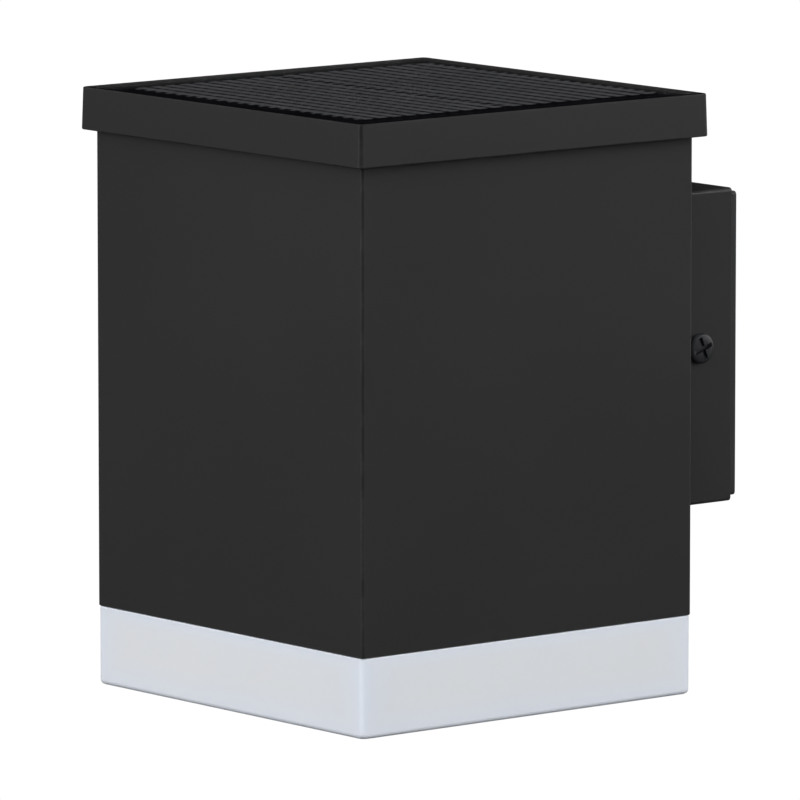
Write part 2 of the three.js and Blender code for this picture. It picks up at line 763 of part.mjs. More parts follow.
// A round lead through a list of points.
function lead(points, steps) {
  const section = new THREE.Shape();
  section.absarc(0, 0, leadRadius, 0, 2 * Math.PI);
  const path = new THREE.CatmullRomCurve3(points.map((point) => new THREE.Vector3(...point)));
  return solid(new THREE.ExtrudeGeometry(section, {
    extrudePath: path,
    steps,
    curveSegments: 3,
    bevelEnabled: false,
  }));
}

// The two leads from the panel down to the plug, with a little slack in the body. side is 1 or -1.
function solarLead(side) {
  const [x, y] = leadPlace();
  const shift = (side * leadGap) / 2;
  const top = deckTop + adhesiveThick;
  const low = plugTop() + clearance;
  const reach = deckUnder - low;
  return lead([
    [x + shift, y, top],
    [x + shift, y, deckUnder - 6],
    [x + shift + 3, y - 3, low + 0.65 * reach],
    [x + shift - 3, y + 3, low + 0.3 * reach],
    [x + shift, y, low + 6],
    [x + shift, y, low],
  ], 24);
}

// A lead from the control board down through the tray to the LED board's underside. side is 1 or -1.
function ledLead(side) {
  const [x, holeY] = ledLeadPlace();
  const y = holeY + (side * leadGap) / 2;
  const boardEdge = boardWidth / 2;
  const ledEdge = ledBoardSize / 2;
  return lead([
    [boardEdge - 3, y, boardTop + clearance],
    [boardEdge - 1, y, boardTop + 3],
    [x - 1, y, boardTop + 1],
    [x, y, trayTop],
    [x, y, trayBottom - 2],
    [ledEdge, y, ledBoardUnder - 3],
    [ledEdge - 3, y, ledBoardUnder - 2],
    [ledEdge - 3, y, ledBoardUnder - clearance],
  ], 20);
}

// A lead from one battery contact over the holder's end to the control board. side is 1 or -1.
function batteryLead(side) {
  const contact = channelLength / 2 - clearance;
  const plateTop = contactTop();
  const outside = holderLength / 2 + 4;
  const frontEdge = boardY - boardDepth / 2;
  return lead([
    [side * contact, batteryY, plateTop + clearance],
    [side * (contact + 1), batteryY, plateTop + 2.5],
    [side * outside, batteryY + 4, plateTop - 2],
    [side * outside, frontEdge - 6, boardTop + 4],
    [side * (boardWidth / 2 + 1), frontEdge + 1, boardTop + 4],
    [side * (boardWidth / 2 - 4), frontEdge + 4, boardTop + 2],
    [side * (boardWidth / 2 - 4), frontEdge + 4, boardTop + clearance],
  ], 20);
}

// ---- Assembly ----

const up = new THREE.Vector3(0, 0, 1);
const down = new THREE.Vector3(0, 0, -1);
const towardsWall = new THREE.Vector3(0, 1, 0);

function bracketGroup() {
  const group = new THREE.Group();
  group.add(piece('wall_plate', darkSteel, wallPlate()));
  return group;
}

function canopyGroup() {
  const group = new THREE.Group();
  group.add(piece('canopy', black, canopy()));
  group.add(sideFastener('right', 1));
  group.add(sideFastener('left', -1));
  const span = canopyScrewSpan / 2;
  corners(span, span).forEach(([x, z], i) => {
    const place = new THREE.Vector3(x, canopyEnd + canopyFront + seat, z);
    group.add(screw(`canopy_screw_${i + 1}`, steel, m4, canopyScrewLength, place, towardsWall));
  });
  return group;
}

function trayGroup() {
  const group = new THREE.Group();
  group.add(piece('inner_tray', white, innerTray()));
  corners(postX, postY).forEach(([x, y], i) => {
    const place = new THREE.Vector3(x, y, trayTop + seat);
    group.add(screw(`tray_screw_${i + 1}`, steel, m3, trayScrewLength, place, up));
  });
  group.add(piece('led_board', white, ledBoard()));
  group.add(ledChips());
  ledBoardScrewPlaces().forEach(([x, y], i) => {
    const place = new THREE.Vector3(x, y, ledBoardUnder - seat);
    group.add(screw(`led_board_screw_${i + 1}`, steel, m3, boardScrewLength, place, down));
  });
  group.add(piece('control_board', boardGreen, controlBoard()));
  boardScrewPlaces().forEach(([x, y], i) => {
    const place = new THREE.Vector3(x, y, boardTop + seat);
    group.add(screw(`board_screw_${i + 1}`, steel, m3, boardScrewLength, place, up));
  });
  const chipHalf = chipSize / 2;
  const onBoard = [boardTop + seat, boardTop + seat + chipThick];
  const chipY = [boardY - chipHalf, boardY + chipHalf];
  group.add(piece('control_chip', rubber, block([-chipHalf, chipHalf], chipY, onBoard)));
  const coilSpan = [boardTop + seat, boardTop + seat + coilHeight];
  group.add(piece('charging_coil', ferrite, rod('z', coilRadius, coilSpan, [coilX, boardY - coilShift])));
  group.add(piece('solar_socket', white, solarSocket()));
  group.add(piece('led_lead_red', redPlastic, ledLead(1)));
  group.add(piece('led_lead_black', rubber, ledLead(-1)));
  return group;
}

function batteryGroup() {
  const group = new THREE.Group();
  group.add(piece('battery_holder', rubber, batteryHolder()));
  group.add(piece('battery_cell', batteryGreen, batteryCell()));
  group.add(piece('contact_plate', steel, contactPlate(1)));
  group.add(piece('contact_spring', steel, contactSpring()));
  group.add(piece('battery_lead_red', redPlastic, batteryLead(1)));
  group.add(piece('battery_lead_black', rubber, batteryLead(-1)));
  holderScrewPlaces().forEach(([x, y], i) => {
    const place = new THREE.Vector3(x, y, holderFloor + earThick + seat);
    group.add(screw(`holder_screw_${i + 1}`, steel, m3, holderScrewLength, place, up));
  });
  return group;
}

function switchGroup() {
  const group = new THREE.Group();
  group.position.set(0, bodyDepth / 2, switchHeight);
  group.add(piece('switch_body', black, switchBody()));
  group.add(piece('switch_seal', rubber, switchSeal()));
  group.add(piece('switch_nut', steel, switchNut()));
  group.add(piece('power_button', rubber, powerButton()));
  return group;
}

function capGroup() {
  const group = new THREE.Group();
  group.add(piece('cap_shell', black, capShell()));
  group.add(piece('cap_gasket', rubber, capGasket()));
  group.add(solarPanel());
  group.add(piece('lead_grommet', rubber, leadGrommet()));
  group.add(piece('solar_lead_red', redPlastic, solarLead(1)));
  group.add(piece('solar_lead_black', rubber, solarLead(-1)));
  group.add(piece('solar_plug', white, solarPlug()));
  return group;
}

// The lamp's frame stands on the body's lower edge, on the body's axis.
function lampGroup() {
  const group = new THREE.Group();
  group.position.set(0, bodyBack - bodyDepth / 2, -canopyZ);
  group.add(piece('body_shell', black, bodyShell()));
  group.add(piece('diffuser', frosted, diffuser()));
  group.add(piece('diffuser_gasket', rubber, diffuserGasket()));
  group.add(trayGroup());
  group.add(batteryGroup());
  group.add(switchGroup());
  group.add(capGroup());
  return group;
}

const lantern = new THREE.Group();
lantern.add(bracketGroup());
lantern.add(canopyGroup());
lantern.add(lampGroup());

export default lantern;
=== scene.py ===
"""Solar wall lantern: a square lamp on a wall bracket, with a solar cap and a frosted cup."""

import json
import math

import bmesh
import bpy
from bpy.props import FloatProperty, FloatVectorProperty, IntProperty, PointerProperty
from mathutils import Matrix, Vector


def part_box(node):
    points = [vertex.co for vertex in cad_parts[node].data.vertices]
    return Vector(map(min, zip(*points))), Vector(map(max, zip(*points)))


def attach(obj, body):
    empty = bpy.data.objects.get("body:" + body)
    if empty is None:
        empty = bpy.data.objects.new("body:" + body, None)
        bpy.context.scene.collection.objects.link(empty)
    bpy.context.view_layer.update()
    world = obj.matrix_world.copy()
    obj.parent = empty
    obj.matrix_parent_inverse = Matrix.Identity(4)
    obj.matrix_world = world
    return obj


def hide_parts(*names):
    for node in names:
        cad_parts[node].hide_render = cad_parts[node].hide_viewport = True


bl_info = {
    "name": "Solar Wall Lantern",
    "version": (1, 0, 0),
    "blender": (4, 5, 0),
    "location": "View3D > Sidebar > Lantern",
    "description": "Builds a solar wall lantern piece by piece round its packed frame",
    "category": "Add Mesh",
}

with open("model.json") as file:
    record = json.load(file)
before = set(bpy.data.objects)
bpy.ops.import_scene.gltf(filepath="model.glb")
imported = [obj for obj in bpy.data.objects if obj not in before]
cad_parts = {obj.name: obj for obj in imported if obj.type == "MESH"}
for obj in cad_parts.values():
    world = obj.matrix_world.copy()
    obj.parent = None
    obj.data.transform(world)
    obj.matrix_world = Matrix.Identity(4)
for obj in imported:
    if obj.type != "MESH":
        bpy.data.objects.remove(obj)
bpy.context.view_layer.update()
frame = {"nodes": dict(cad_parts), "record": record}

MM = 0.001
BODY_OF = {
    node: body
    for body, nodes in frame["record"]["behaviour"]["bodies"].items()
    for node in nodes
}
SHARP_ANGLE = 32  # degrees; a steeper edge shades sharp
# On the powder coats a worn edge is also a painted edge highlight.
EDGE_FACE = 0.0007  # m; a face this narrow counts as a worn edge
WELD = 1e-7  # m; points of a loft closer than this become one
COPY_WELD = 3e-6  # m; the same for a copy of a node's loose triangles
FLAT_ANGLE = 1.5  # degrees; faces of a copy flatter than this become one
UP = Vector((0, 0, 1))
TO_WALL = Vector((0, 1, 0))
TO_RIGHT = Vector((1, 0, 0))


def middle(node):
    """The centre of a node's box."""
    low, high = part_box(node)
    return (low + high) / 2


# ---- Sizes, colours and studio settings ----


def length(name, description, default):
    """A length property in metres."""
    return FloatProperty(
        name=name, description=description, default=default, min=0, unit="LENGTH", precision=5
    )


def colour(name, description, default):
    """A colour property."""
    return FloatVectorProperty(
        name=name, description=description, default=default, subtype="COLOR", min=0, max=1
    )


class LanternSizes(bpy.types.PropertyGroup):
    """Sizes of the lantern's details."""

    sheet_ease: length("Sheet edge", "Rounding along the edges of the sheet metal", 0.0004)
    part_ease: length("Part edge", "Rounding along the edges of small moulded parts", 0.00022)
    cup_ease: length("Cup edge", "Rounding along the diffuser's lower edge", 0.0013)
    bar_count: IntProperty(
        name="Bars", description="Silicon bars in each solar cell", default=10, min=1
    )
    bar_share: FloatProperty(
        name="Bar share",
        description="How much of each step a bar fills",
        default=0.58,
        min=0,
        max=1,
    )
    wire_count: IntProperty(
        name="Wires", description="Fine wires across each solar cell", default=22, min=1
    )
    wire_width: length("Wire width", "Width of a wire on a solar cell", 0.00006)
    front_margin: length("Front margin", "Bare backing ahead of the front cell's bars", 0.0029)
    tab_width: length("Tab width", "Width of the tabs along a cell's edges", 0.0013)
    tab_reach: length("Tab reach", "How far a tab stands out of a cell's edge", 0.0007)
    m4_pitch: length("M4 pitch", "Thread pitch of the M4 screws", 0.0007)
    m3_pitch: length("M3 pitch", "Thread pitch of the M3 screws", 0.0005)


class LanternColours(bpy.types.PropertyGroup):
    """Colours of the lantern's finishes."""

    powder: colour("Powder coat", "The black powder coat", (0.0127, 0.0127, 0.013))
    # The cap's deeper black than the body's powder coat is painted shade.
    cap: colour("Cap", "The solar cap's powder coat", (0.0094, 0.0094, 0.0097))
    plate: colour("Wall plate", "The wall plate's black paint", (0.012, 0.0125, 0.014))
    frosted: colour("Frosted cup", "The frosted diffuser", (0.78, 0.81, 0.86))
    silicon: colour("Silicon", "The bars of the solar cells", (0.047, 0.048, 0.051))
    screw: colour("Side screws", "The blackened side screws", (0.007, 0.0075, 0.009))
    sleeve: colour("Battery sleeve", "The battery's shrink sleeve", (0.03, 0.22, 0.1))


class LanternStudio(bpy.types.PropertyGroup):
    """The camera, the floor and the power of the softboxes."""

    eye: FloatVectorProperty(
        name="Camera",
        description="Where the camera stands",
        default=(1.9279, -1.6543, 0.3395),
        subtype="TRANSLATION",
        unit="LENGTH",
    )
    back: FloatVectorProperty(
        name="Camera back",
        description="Direction from the lantern to the camera",
        default=(0.7671, -0.6261, 0.13995),
        subtype="DIRECTION",
    )
    lens: FloatProperty(
        name="Lens", description="Focal length in millimetres", default=434.6, min=1
    )
    drop: length("Floor drop", "How far the floor lies below the lantern", 3.4)
    key: FloatProperty(name="Key", description="Power of the main softbox", default=95.0, min=0)
    side: FloatProperty(name="Side", description="Power of each side softbox", default=40.0, min=0)
    top: FloatProperty(name="Top", description="Power of the overhead softbox", default=22.0, min=0)
    rear: FloatProperty(name="Rear", description="Power of the rear softbox", default=48.0, min=0)


# ---- Meshes ----


def square_ring(half, height, corner, steps=5):
    """A square with round corners, as points in X and Y at one height."""
    corner = max(min(corner, half * 0.999), 0.01)
    centre = half - corner
    ring = []
    for quarter in range(4):
        side_x = (1, -1, -1, 1)[quarter]
        side_y = (1, 1, -1, -1)[quarter]
        for step in range(steps + 1):
            angle = (quarter + step / steps) * math.pi / 2
            x = side_x * centre + corner * math.cos(angle)
            y = side_y * centre + corner * math.sin(angle)
            ring.append(Vector((x, y, height)))
    return ring


def round_ring(radius, height, steps=32):
    """A circle as points in X and Y at one height."""
    turn = 2 * math.pi / steps
    return [
        Vector((radius * math.cos(i * turn), radius * math.sin(i * turn), height))
        for i in range(steps)
    ]


def eased(profile, closed=False, steps=3):
    """Rounds a profile's corners. Each point is (size, height, corner, ease)."""
    rounded = []
    for i, (size, height, corner, ease) in enumerate(profile):
        here = Vector((size, height, corner))
        at_end = not closed and i in (0, len(profile) - 1)
        if not ease or at_end:
            rounded.append(here)
            continue
        before = Vector(profile[i - 1][:3]) - here
        after = Vector(profile[(i + 1) % len(profile)][:3]) - here
        start = here + before * min(0.49, ease / before.xy.length)
        end = here + after * min(0.49, ease / after.xy.length)
        for step in range(steps + 1):
            t = step / steps
            rounded.append(start * (1 - t) ** 2 + here * 2 * t * (1 - t) + end * t**2)
    return rounded


def lofted(rings, closed=False):
    """A closed mesh through rings of points in millimetres."""
    made = bmesh.new()
    rows = [[made.verts.new(point * MM) for point in ring] for ring in rings]
    count = len(rows[0])
    pairs = list(zip(rows, rows[1:]))
    if closed:
        pairs.append((rows[-1], rows[0]))
    else:
        made.faces.new(rows[0])
        made.faces.new(rows[-1])
    for row, next_row in pairs:
        for i in range(count):
            j = (i + 1) % count
            made.faces.new((row[i], row[j], next_row[j], next_row[i]))
    bmesh.ops.remove_doubles(made, verts=made.verts, dist=WELD)
    bmesh.ops.recalc_face_normals(made, faces=made.faces)
    return as_mesh(made)


def square_loft(profile, closed=False, steps=3):
    """A square piece from a profile of (half width, height, corner, ease)."""
    return lofted([square_ring(*point) for point in eased(profile, closed, steps)], closed)


def round_loft(profile, closed=False, sides=32, steps=3):
    """A round piece from a profile of (radius, height, ease)."""
    flat = [(radius, height, 0, ease) for radius, height, ease in profile]
    return lofted([round_ring(p.x, p.y, sides) for p in eased(flat, closed, steps)], closed)


def as_mesh(made):
    """The mesh of a finished bmesh."""
    mesh = bpy.data.meshes.new("made")
    made.to_mesh(mesh)
    made.free()
    return mesh


def block(low, high, ease=0.0):
    """A box between two corners in millimetres, with eased edges."""
    made = bmesh.new()
    bmesh.ops.create_cube(made, size=1)
    low, high = Vector(low), Vector(high)
    size = high - low
    place = Matrix.Translation((low + high) / 2 * MM) @ Matrix.Diagonal((*(size * MM), 1))
    bmesh.ops.transform(made, matrix=place, verts=made.verts)
    if ease:
        bmesh.ops.bevel(
            made, geom=made.edges[:], offset=ease * MM, segments=2, affect="EDGES", profile=0.6
        )
    return as_mesh(made)


def moved(mesh, matrix):
    """A mesh after a move or turn."""
    mesh.transform(matrix)
    return mesh


def stood(mesh, place, towards=UP, turn=0.0):
    """A mesh made along +Z, turned about its axis, aimed along a direction and put in place."""
    aim = towards.to_track_quat("Z", "Y").to_matrix().to_4x4()
    mesh.transform(Matrix.Translation(place) @ aim @ Matrix.Rotation(turn, 4, "Z"))
    return mesh


def together(meshes, banded=False):
    """One mesh from several. If banded, each keeps its own material index."""
    made = bmesh.new()
    for i, mesh in enumerate(meshes):
        first = len(made.faces)
        made.from_mesh(mesh)
        made.faces.ensure_lookup_table()
        if banded:
            for face in made.faces[first:]:
                face.material_index = i
    return as_mesh(made)


def evaluated(thing):
    """A plain mesh of an object with its modifiers, which then goes."""
    graph = bpy.context.evaluated_depsgraph_get()
    mesh = bpy.data.meshes.new_from_object(thing.evaluated_get(graph), depsgraph=graph)
    bpy.data.objects.remove(thing)
    return mesh


def held(mesh, name="held"):
    """A passing object for a mesh."""
    thing = bpy.data.objects.new(name, mesh)
    bpy.context.scene.collection.objects.link(thing)
    return thing


def boolean(mesh, others, operation):
    """A mesh with others cut from it or joined to it."""
    base = held(mesh)
    tool = held(together(others))
    step = base.modifiers.new("boolean", "BOOLEAN")
    step.operation = operation
    step.solver = "EXACT"
    step.object = tool
    result = evaluated(base)
    bpy.data.objects.remove(tool)
    return result


def rod(radius, start, end, centre, towards=UP, sides=32):
    """A plain round cutter. start and end lie along the direction, from the centre."""
    mesh = round_loft([(radius, start, 0), (radius, end, 0)], sides=sides)
    return stood(mesh, Vector(centre) * MM, towards)


def eased_copy(node, ease, angle=25, segments=2):
    """A copy of a node's mesh with its sharp edges rounded."""
    made = bmesh.new()
    made.from_mesh(frame["nodes"][node].data)
    bmesh.ops.remove_doubles(made, verts=made.verts, dist=COPY_WELD)
    bmesh.ops.dissolve_limit(
        made, angle_limit=math.radians(FLAT_ANGLE), verts=made.verts, edges=made.edges
    )
    sharp = [
        edge
        for edge in made.edges
        if len(edge.link_faces) == 2 and edge.calc_face_angle() > math.radians(angle)
    ]
    bmesh.ops.bevel(
        made,
        geom=sharp,
        offset=ease,
        segments=segments,
        affect="EDGES",
        profile=0.6,
        clamp_overlap=True,
    )
    return as_mesh(made)


def mark_edges(mesh, widest=EDGE_FACE):
    """Marks the corners of narrow edge faces, for wear and, on the powder coats, a painted edge
    highlight.
    """
    layer = mesh.attributes.new("edge", "FLOAT", "CORNER")
    for face in mesh.polygons:
        corners = list(face.vertices)
        sides = [
            (mesh.vertices[corners[i]].co - mesh.vertices[corners[i - 1]].co).length
            for i in range(len(corners))
        ]
        narrow = 1.0 if len(corners) < 6 and min(sides) < widest else 0.0
        for loop in face.loop_indices:
            layer.data[loop].value = narrow


def piece(name, mesh, materials, slot, *nodes, sharp=SHARP_ANGLE):
    """Adds a finished piece that stands for one or more nodes and rides on their body."""
    mesh.polygons.foreach_set("use_smooth", [True] * len(mesh.polygons))
    mesh.set_sharp_from_angle(angle=math.radians(sharp))
    thing = held(mesh)
    weighted = thing.modifiers.new("weighted", "WEIGHTED_NORMAL")
    weighted.keep_sharp = True
    weighted.weight = 80
    mesh = evaluated(thing)
    mark_edges(mesh)
    mesh.name = name
    bands = [face.material_index for face in mesh.polygons]
    mesh.materials.clear()
    materials = materials if isinstance(materials, (list, tuple)) else [materials]
    for material in materials:
        mesh.materials.append(material)
    if len(materials) > 1:
        mesh.polygons.foreach_set("material_index", bands)
    made = bpy.data.objects.new(name, mesh)
    bpy.context.scene.collection.objects.link(made)
    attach(made, BODY_OF[nodes[0]])
    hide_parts(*nodes)
    return made


# ---- Geometry trees ----


def new_tree(name, inputs):
    """A geometry tree with a geometry input, named inputs and a geometry output."""
    tree = bpy.data.node_groups.new(name, "GeometryNodeTree")
    tree.interface.new_socket("Geometry", in_out="INPUT", socket_type="NodeSocketGeometry")
    for label, kind, default in inputs:
        socket = tree.interface.new_socket(label, in_out="INPUT", socket_type="NodeSocket" + kind)
        if default is not None:
            socket.default_value = default
    tree.interface.new_socket("Geometry", in_out="OUTPUT", socket_type="NodeSocketGeometry")
    return tree, tree.nodes.new("NodeGroupInput"), tree.nodes.new("NodeGroupOutput")


def add_node(tree, kind, settings=None, **links):
    """A node with its settings, and its inputs given as values or as sockets to link."""
    node = tree.nodes.new(kind)
    for key, value in (settings or {}).items():
        setattr(node, key, value)
    for label, value in links.items():
        socket = find_socket(node.inputs, label)
        if isinstance(value, bpy.types.NodeSocket):
            tree.links.new(value, socket)
        else:
            socket.default_value = value
    return node


def find_socket(sockets, label):
    """The enabled socket whose name or number matches a keyword label."""
    if label.startswith("in_"):
        return sockets[int(label[3:])]
    wanted = label.replace("_", " ").lower()
    for socket in sockets:
        if socket.enabled and socket.name.lower() == wanted:
            return socket
    raise KeyError(f"no input named {label}")


def finish_tree(tree, ends, geometry, material):
    """Ends a tree in Realize Instances and Set Material."""
    real = add_node(tree, "GeometryNodeRealizeInstances", Geometry=geometry)
    painted = add_node(
        tree, "GeometryNodeSetMaterial", Geometry=real.outputs[0], Material=material
    )
    tree.links.new(painted.outputs[0], ends.inputs[0])
    return tree


def grown(tree, values, start=None):
    """The plain mesh that a tree makes from a start mesh with these input values."""
    thing = held(start or bpy.data.meshes.new("start"))
    step = thing.modifiers.new("grow", "NODES")
    step.node_group = tree
    for item in tree.interface.items_tree:
        if item.item_type == "SOCKET" and item.in_out == "INPUT" and item.name in values:
            step[item.identifier] = values[item.name]
    return evaluated(thing)


def bar_row_tree():
    """A row of equal bars, one step apart."""
    known = bpy.data.node_groups.get("Bar row")
    if known:
        return known
    inputs = [
        ("Bar Size", "Vector", (0.01, 0.001, 0.001)),
        ("Count", "Int", 10),
        ("First", "Vector", (0, 0, 0)),
        ("Step", "Vector", (0, 0.001, 0)),
        ("Material", "Material", None),
    ]
    tree, given, ends = new_tree("Bar row", inputs)
    bar = add_node(tree, "GeometryNodeMeshCube", Size=given.outputs["Bar Size"])
    row = add_node(
        tree,
        "GeometryNodeMeshLine",
        {"mode": "OFFSET"},
        Count=given.outputs["Count"],
        Start_Location=given.outputs["First"],
        Offset=given.outputs["Step"],
    )
    placed = add_node(
        tree, "GeometryNodeInstanceOnPoints", Points=row.outputs[0], Instance=bar.outputs[0]
    )
    return finish_tree(tree, ends, placed.outputs[0], given.outputs["Material"])


def scatter_tree():
    """A part on each point, aimed along the point's direction and turned by its own amount."""
    known = bpy.data.node_groups.get("Placed parts")
    if known:
        return known
    inputs = [
        ("Part", "Object", None),
        ("Most Turn", "Float", math.tau),
        ("Seed", "Int", 3),
        ("Material", "Material", None),
    ]
    tree, given, ends = new_tree("Placed parts", inputs)
    towards = add_node(
        tree, "GeometryNodeInputNamedAttribute", {"data_type": "FLOAT_VECTOR"}, Name="towards"
    )
    aimed = add_node(
        tree, "FunctionNodeAlignRotationToVector", {"axis": "Z"}, Vector=towards.outputs[0]
    )
    chance = add_node(
        tree,
        "FunctionNodeRandomValue",
        {"data_type": "FLOAT"},
        Max=given.outputs["Most Turn"],
        Seed=given.outputs["Seed"],
    )
    turn = add_node(tree, "ShaderNodeCombineXYZ", Z=chance.outputs[1])
    spun = add_node(
        tree,
        "FunctionNodeRotateRotation",
        {"rotation_space": "LOCAL"},
        Rotation=aimed.outputs[0],
    )
    tree.links.new(turn.outputs[0], find_socket(spun.inputs, "Rotate_By"))
    part = add_node(tree, "GeometryNodeObjectInfo", Object=given.outputs["Part"])
    placed = add_node(
        tree,
        "GeometryNodeInstanceOnPoints",
        Points=given.outputs["Geometry"],
        Instance=find_socket(part.outputs, "Geometry"),
        Rotation=spun.outputs[0],
    )
    return finish_tree(tree, ends, placed.outputs[0], given.outputs["Material"])


def coil_tree():
    """A round wire wound in a spiral."""
    known = bpy.data.node_groups.get("Wound wire")
    if known:
        return known
    inputs = [
        ("Turns", "Float", 3.0),
        ("Start Radius", "Float", 0.003),
        ("End Radius", "Float", 0.003),
        ("Height", "Float", 0.004),
        ("Wire Radius", "Float", 0.0004),
        ("Material", "Material", None),
    ]
    tree, given, ends = new_tree("Wound wire", inputs)
    spiral = add_node(
        tree,
        "GeometryNodeCurveSpiral",
        Resolution=32,
        Rotations=given.outputs["Turns"],
        Start_Radius=given.outputs["Start Radius"],
        End_Radius=given.outputs["End Radius"],
        Height=given.outputs["Height"],
    )
    section = add_node(
        tree, "GeometryNodeCurvePrimitiveCircle", Resolution=12, Radius=given.outputs["Wire Radius"]
    )
    wire = add_node(
        tree,
        "GeometryNodeCurveToMesh",
        Curve=spiral.outputs[0],
        Profile_Curve=section.outputs[0],
        Fill_Caps=True,
    )
    return finish_tree(tree, ends, wire.outputs[0], given.outputs["Material"])


def placed_parts(part_mesh, places, material, seed=3, most_turn=math.tau):
    """One plain mesh with a part at each (place, direction)."""
    points = bpy.data.meshes.new("places")
    points.from_pydata([tuple(place) for place, _ in places], [], [])
    towards = points.attributes.new("towards", "FLOAT_VECTOR", "POINT")
    for i, (_, direction) in enumerate(places):
        towards.data[i].vector = direction
    part = held(part_mesh, "part")
    values = {"Part": part, "Seed": seed, "Most Turn": most_turn, "Material": material}
    mesh = grown(scatter_tree(), values, points)
    bpy.data.objects.remove(part)
    return mesh


# ---- Shared shader effects ----


def new_effect(name, inputs, outputs):
    """A shader group with named inputs and outputs."""
    tree = bpy.data.node_groups.new(name, "ShaderNodeTree")
    for label, kind, default in inputs:
        socket = tree.interface.new_socket(label, in_out="INPUT", socket_type="NodeSocket" + kind)
        socket.default_value = default
    for label, kind in outputs:
        tree.interface.new_socket(label, in_out="OUTPUT", socket_type="NodeSocket" + kind)
    return tree, tree.nodes.new("NodeGroupInput"), tree.nodes.new("NodeGroupOutput")


def math_node(tree, operation, first, second=0.0, third=0.0):
    """A Math node's result."""
    node = tree.nodes.new("ShaderNodeMath")
    node.operation = operation
    for socket, value in zip(node.inputs, (first, second, third)):
        if isinstance(value, bpy.types.NodeSocket):
            tree.links.new(value, socket)
        else:
            socket.default_value = value
    return node.outputs[0]


def spread(tree, value, low, high, to_low=0.0, to_high=1.0):
    """A value mapped from one range to another, clamped."""
    node = add_node(tree, "ShaderNodeMapRange", {"clamp": True})
    for index, item in enumerate((value, low, high, to_low, to_high)):
        if isinstance(item, bpy.types.NodeSocket):
            tree.links.new(item, node.inputs[index])
        else:
            node.inputs[index].default_value = item
    return node.outputs[0]


def blended(tree, factor, first, second):
    """Two colours mixed by a factor."""
    node = tree.nodes.new("ShaderNodeMix")
    node.data_type = "RGBA"
    for index, item in ((0, factor), (6, first), (7, second)):
        if isinstance(item, bpy.types.NodeSocket):
            tree.links.new(item, node.inputs[index])
        else:
            node.inputs[index].default_value = (*item, 1) if index else item
    return node.outputs[2]


def grain_effect():
    """Fine grain: a bumpy skin, and a slow mottling for colour and roughness."""
    known = bpy.data.node_groups.get("Fine grain")
    if known:
        return known
    inputs = [
        ("Vector", "Vector", (0, 0, 0)),
        ("Grain Scale", "Float", 900.0),
        ("Mottle Scale", "Float", 40.0),
        ("Pitting", "Float", 0.3),
    ]
    outputs = [("Height", "Float"), ("Mottle", "Float")]
    tree, given, ends = new_effect("Fine grain", inputs, outputs)
    at = given.outputs["Vector"]
    skin = add_node(
        tree, "ShaderNodeTexNoise", Vector=at, Scale=given.outputs["Grain Scale"], Detail=2.0
    )
    wider = math_node(tree, "MULTIPLY", given.outputs["Grain Scale"], 0.37)
    pits = add_node(tree, "ShaderNodeTexVoronoi", {"feature": "SMOOTH_F1"}, Vector=at, Scale=wider)
    pit = spread(tree, pits.outputs["Distance"], 0.0, 0.6)
    deep = math_node(tree, "MULTIPLY", pit, given.outputs["Pitting"])
    height = math_node(tree, "ADD", skin.outputs[0], deep)
    slow = add_node(
        tree, "ShaderNodeTexNoise", Vector=at, Scale=given.outputs["Mottle Scale"], Detail=3.0
    )
    mottle = spread(tree, slow.outputs[0], 0.3, 0.7)
    tree.links.new(height, ends.inputs["Height"])
    tree.links.new(mottle, ends.inputs["Mottle"])
    return tree


def wear_effect():
    """Worn edges: a broken line of wear along the edge faces that the meshes mark; on the powder
    coats it is also a painted edge highlight.
    """
    known = bpy.data.node_groups.get("Worn edges")
    if known:
        return known
    inputs = [("Vector", "Vector", (0, 0, 0)), ("Edge", "Float", 0.0), ("Amount", "Float", 0.5)]
    tree, given, ends = new_effect("Worn edges", inputs, [("Mask", "Float")])
    noise = add_node(
        tree, "ShaderNodeTexNoise", Vector=given.outputs["Vector"], Scale=320.0, Detail=4.0
    )
    broken = spread(tree, noise.outputs[0], 0.42, 0.62)
    on_edge = math_node(tree, "MULTIPLY", broken, given.outputs["Edge"])
    mask = math_node(tree, "MULTIPLY", on_edge, given.outputs["Amount"])
    tree.links.new(mask, ends.inputs["Mask"])
    return tree


def dust_effect():
    """Settled dust: a thin patchy film on faces that look up."""
    known = bpy.data.node_groups.get("Settled dust")
    if known:
        return known
    inputs = [
        ("Vector", "Vector", (0, 0, 0)),
        ("Normal", "Vector", (0, 0, 1)),
        ("Amount", "Float", 0.1),
    ]
    tree, given, ends = new_effect("Settled dust", inputs, [("Mask", "Float")])
    parts = add_node(tree, "ShaderNodeSeparateXYZ", Vector=given.outputs["Normal"])
    upward = spread(tree, parts.outputs[2], 0.4, 1.0)
    noise = add_node(
        tree, "ShaderNodeTexNoise", Vector=given.outputs["Vector"], Scale=70.0, Detail=6.0
    )
    patchy = spread(tree, noise.outputs[0], 0.35, 0.75)
    film = math_node(tree, "MULTIPLY", patchy, upward)
    mask = math_node(tree, "MULTIPLY", film, given.outputs["Amount"])
    tree.links.new(mask, ends.inputs["Mask"])
    return tree


# ---- Materials ----


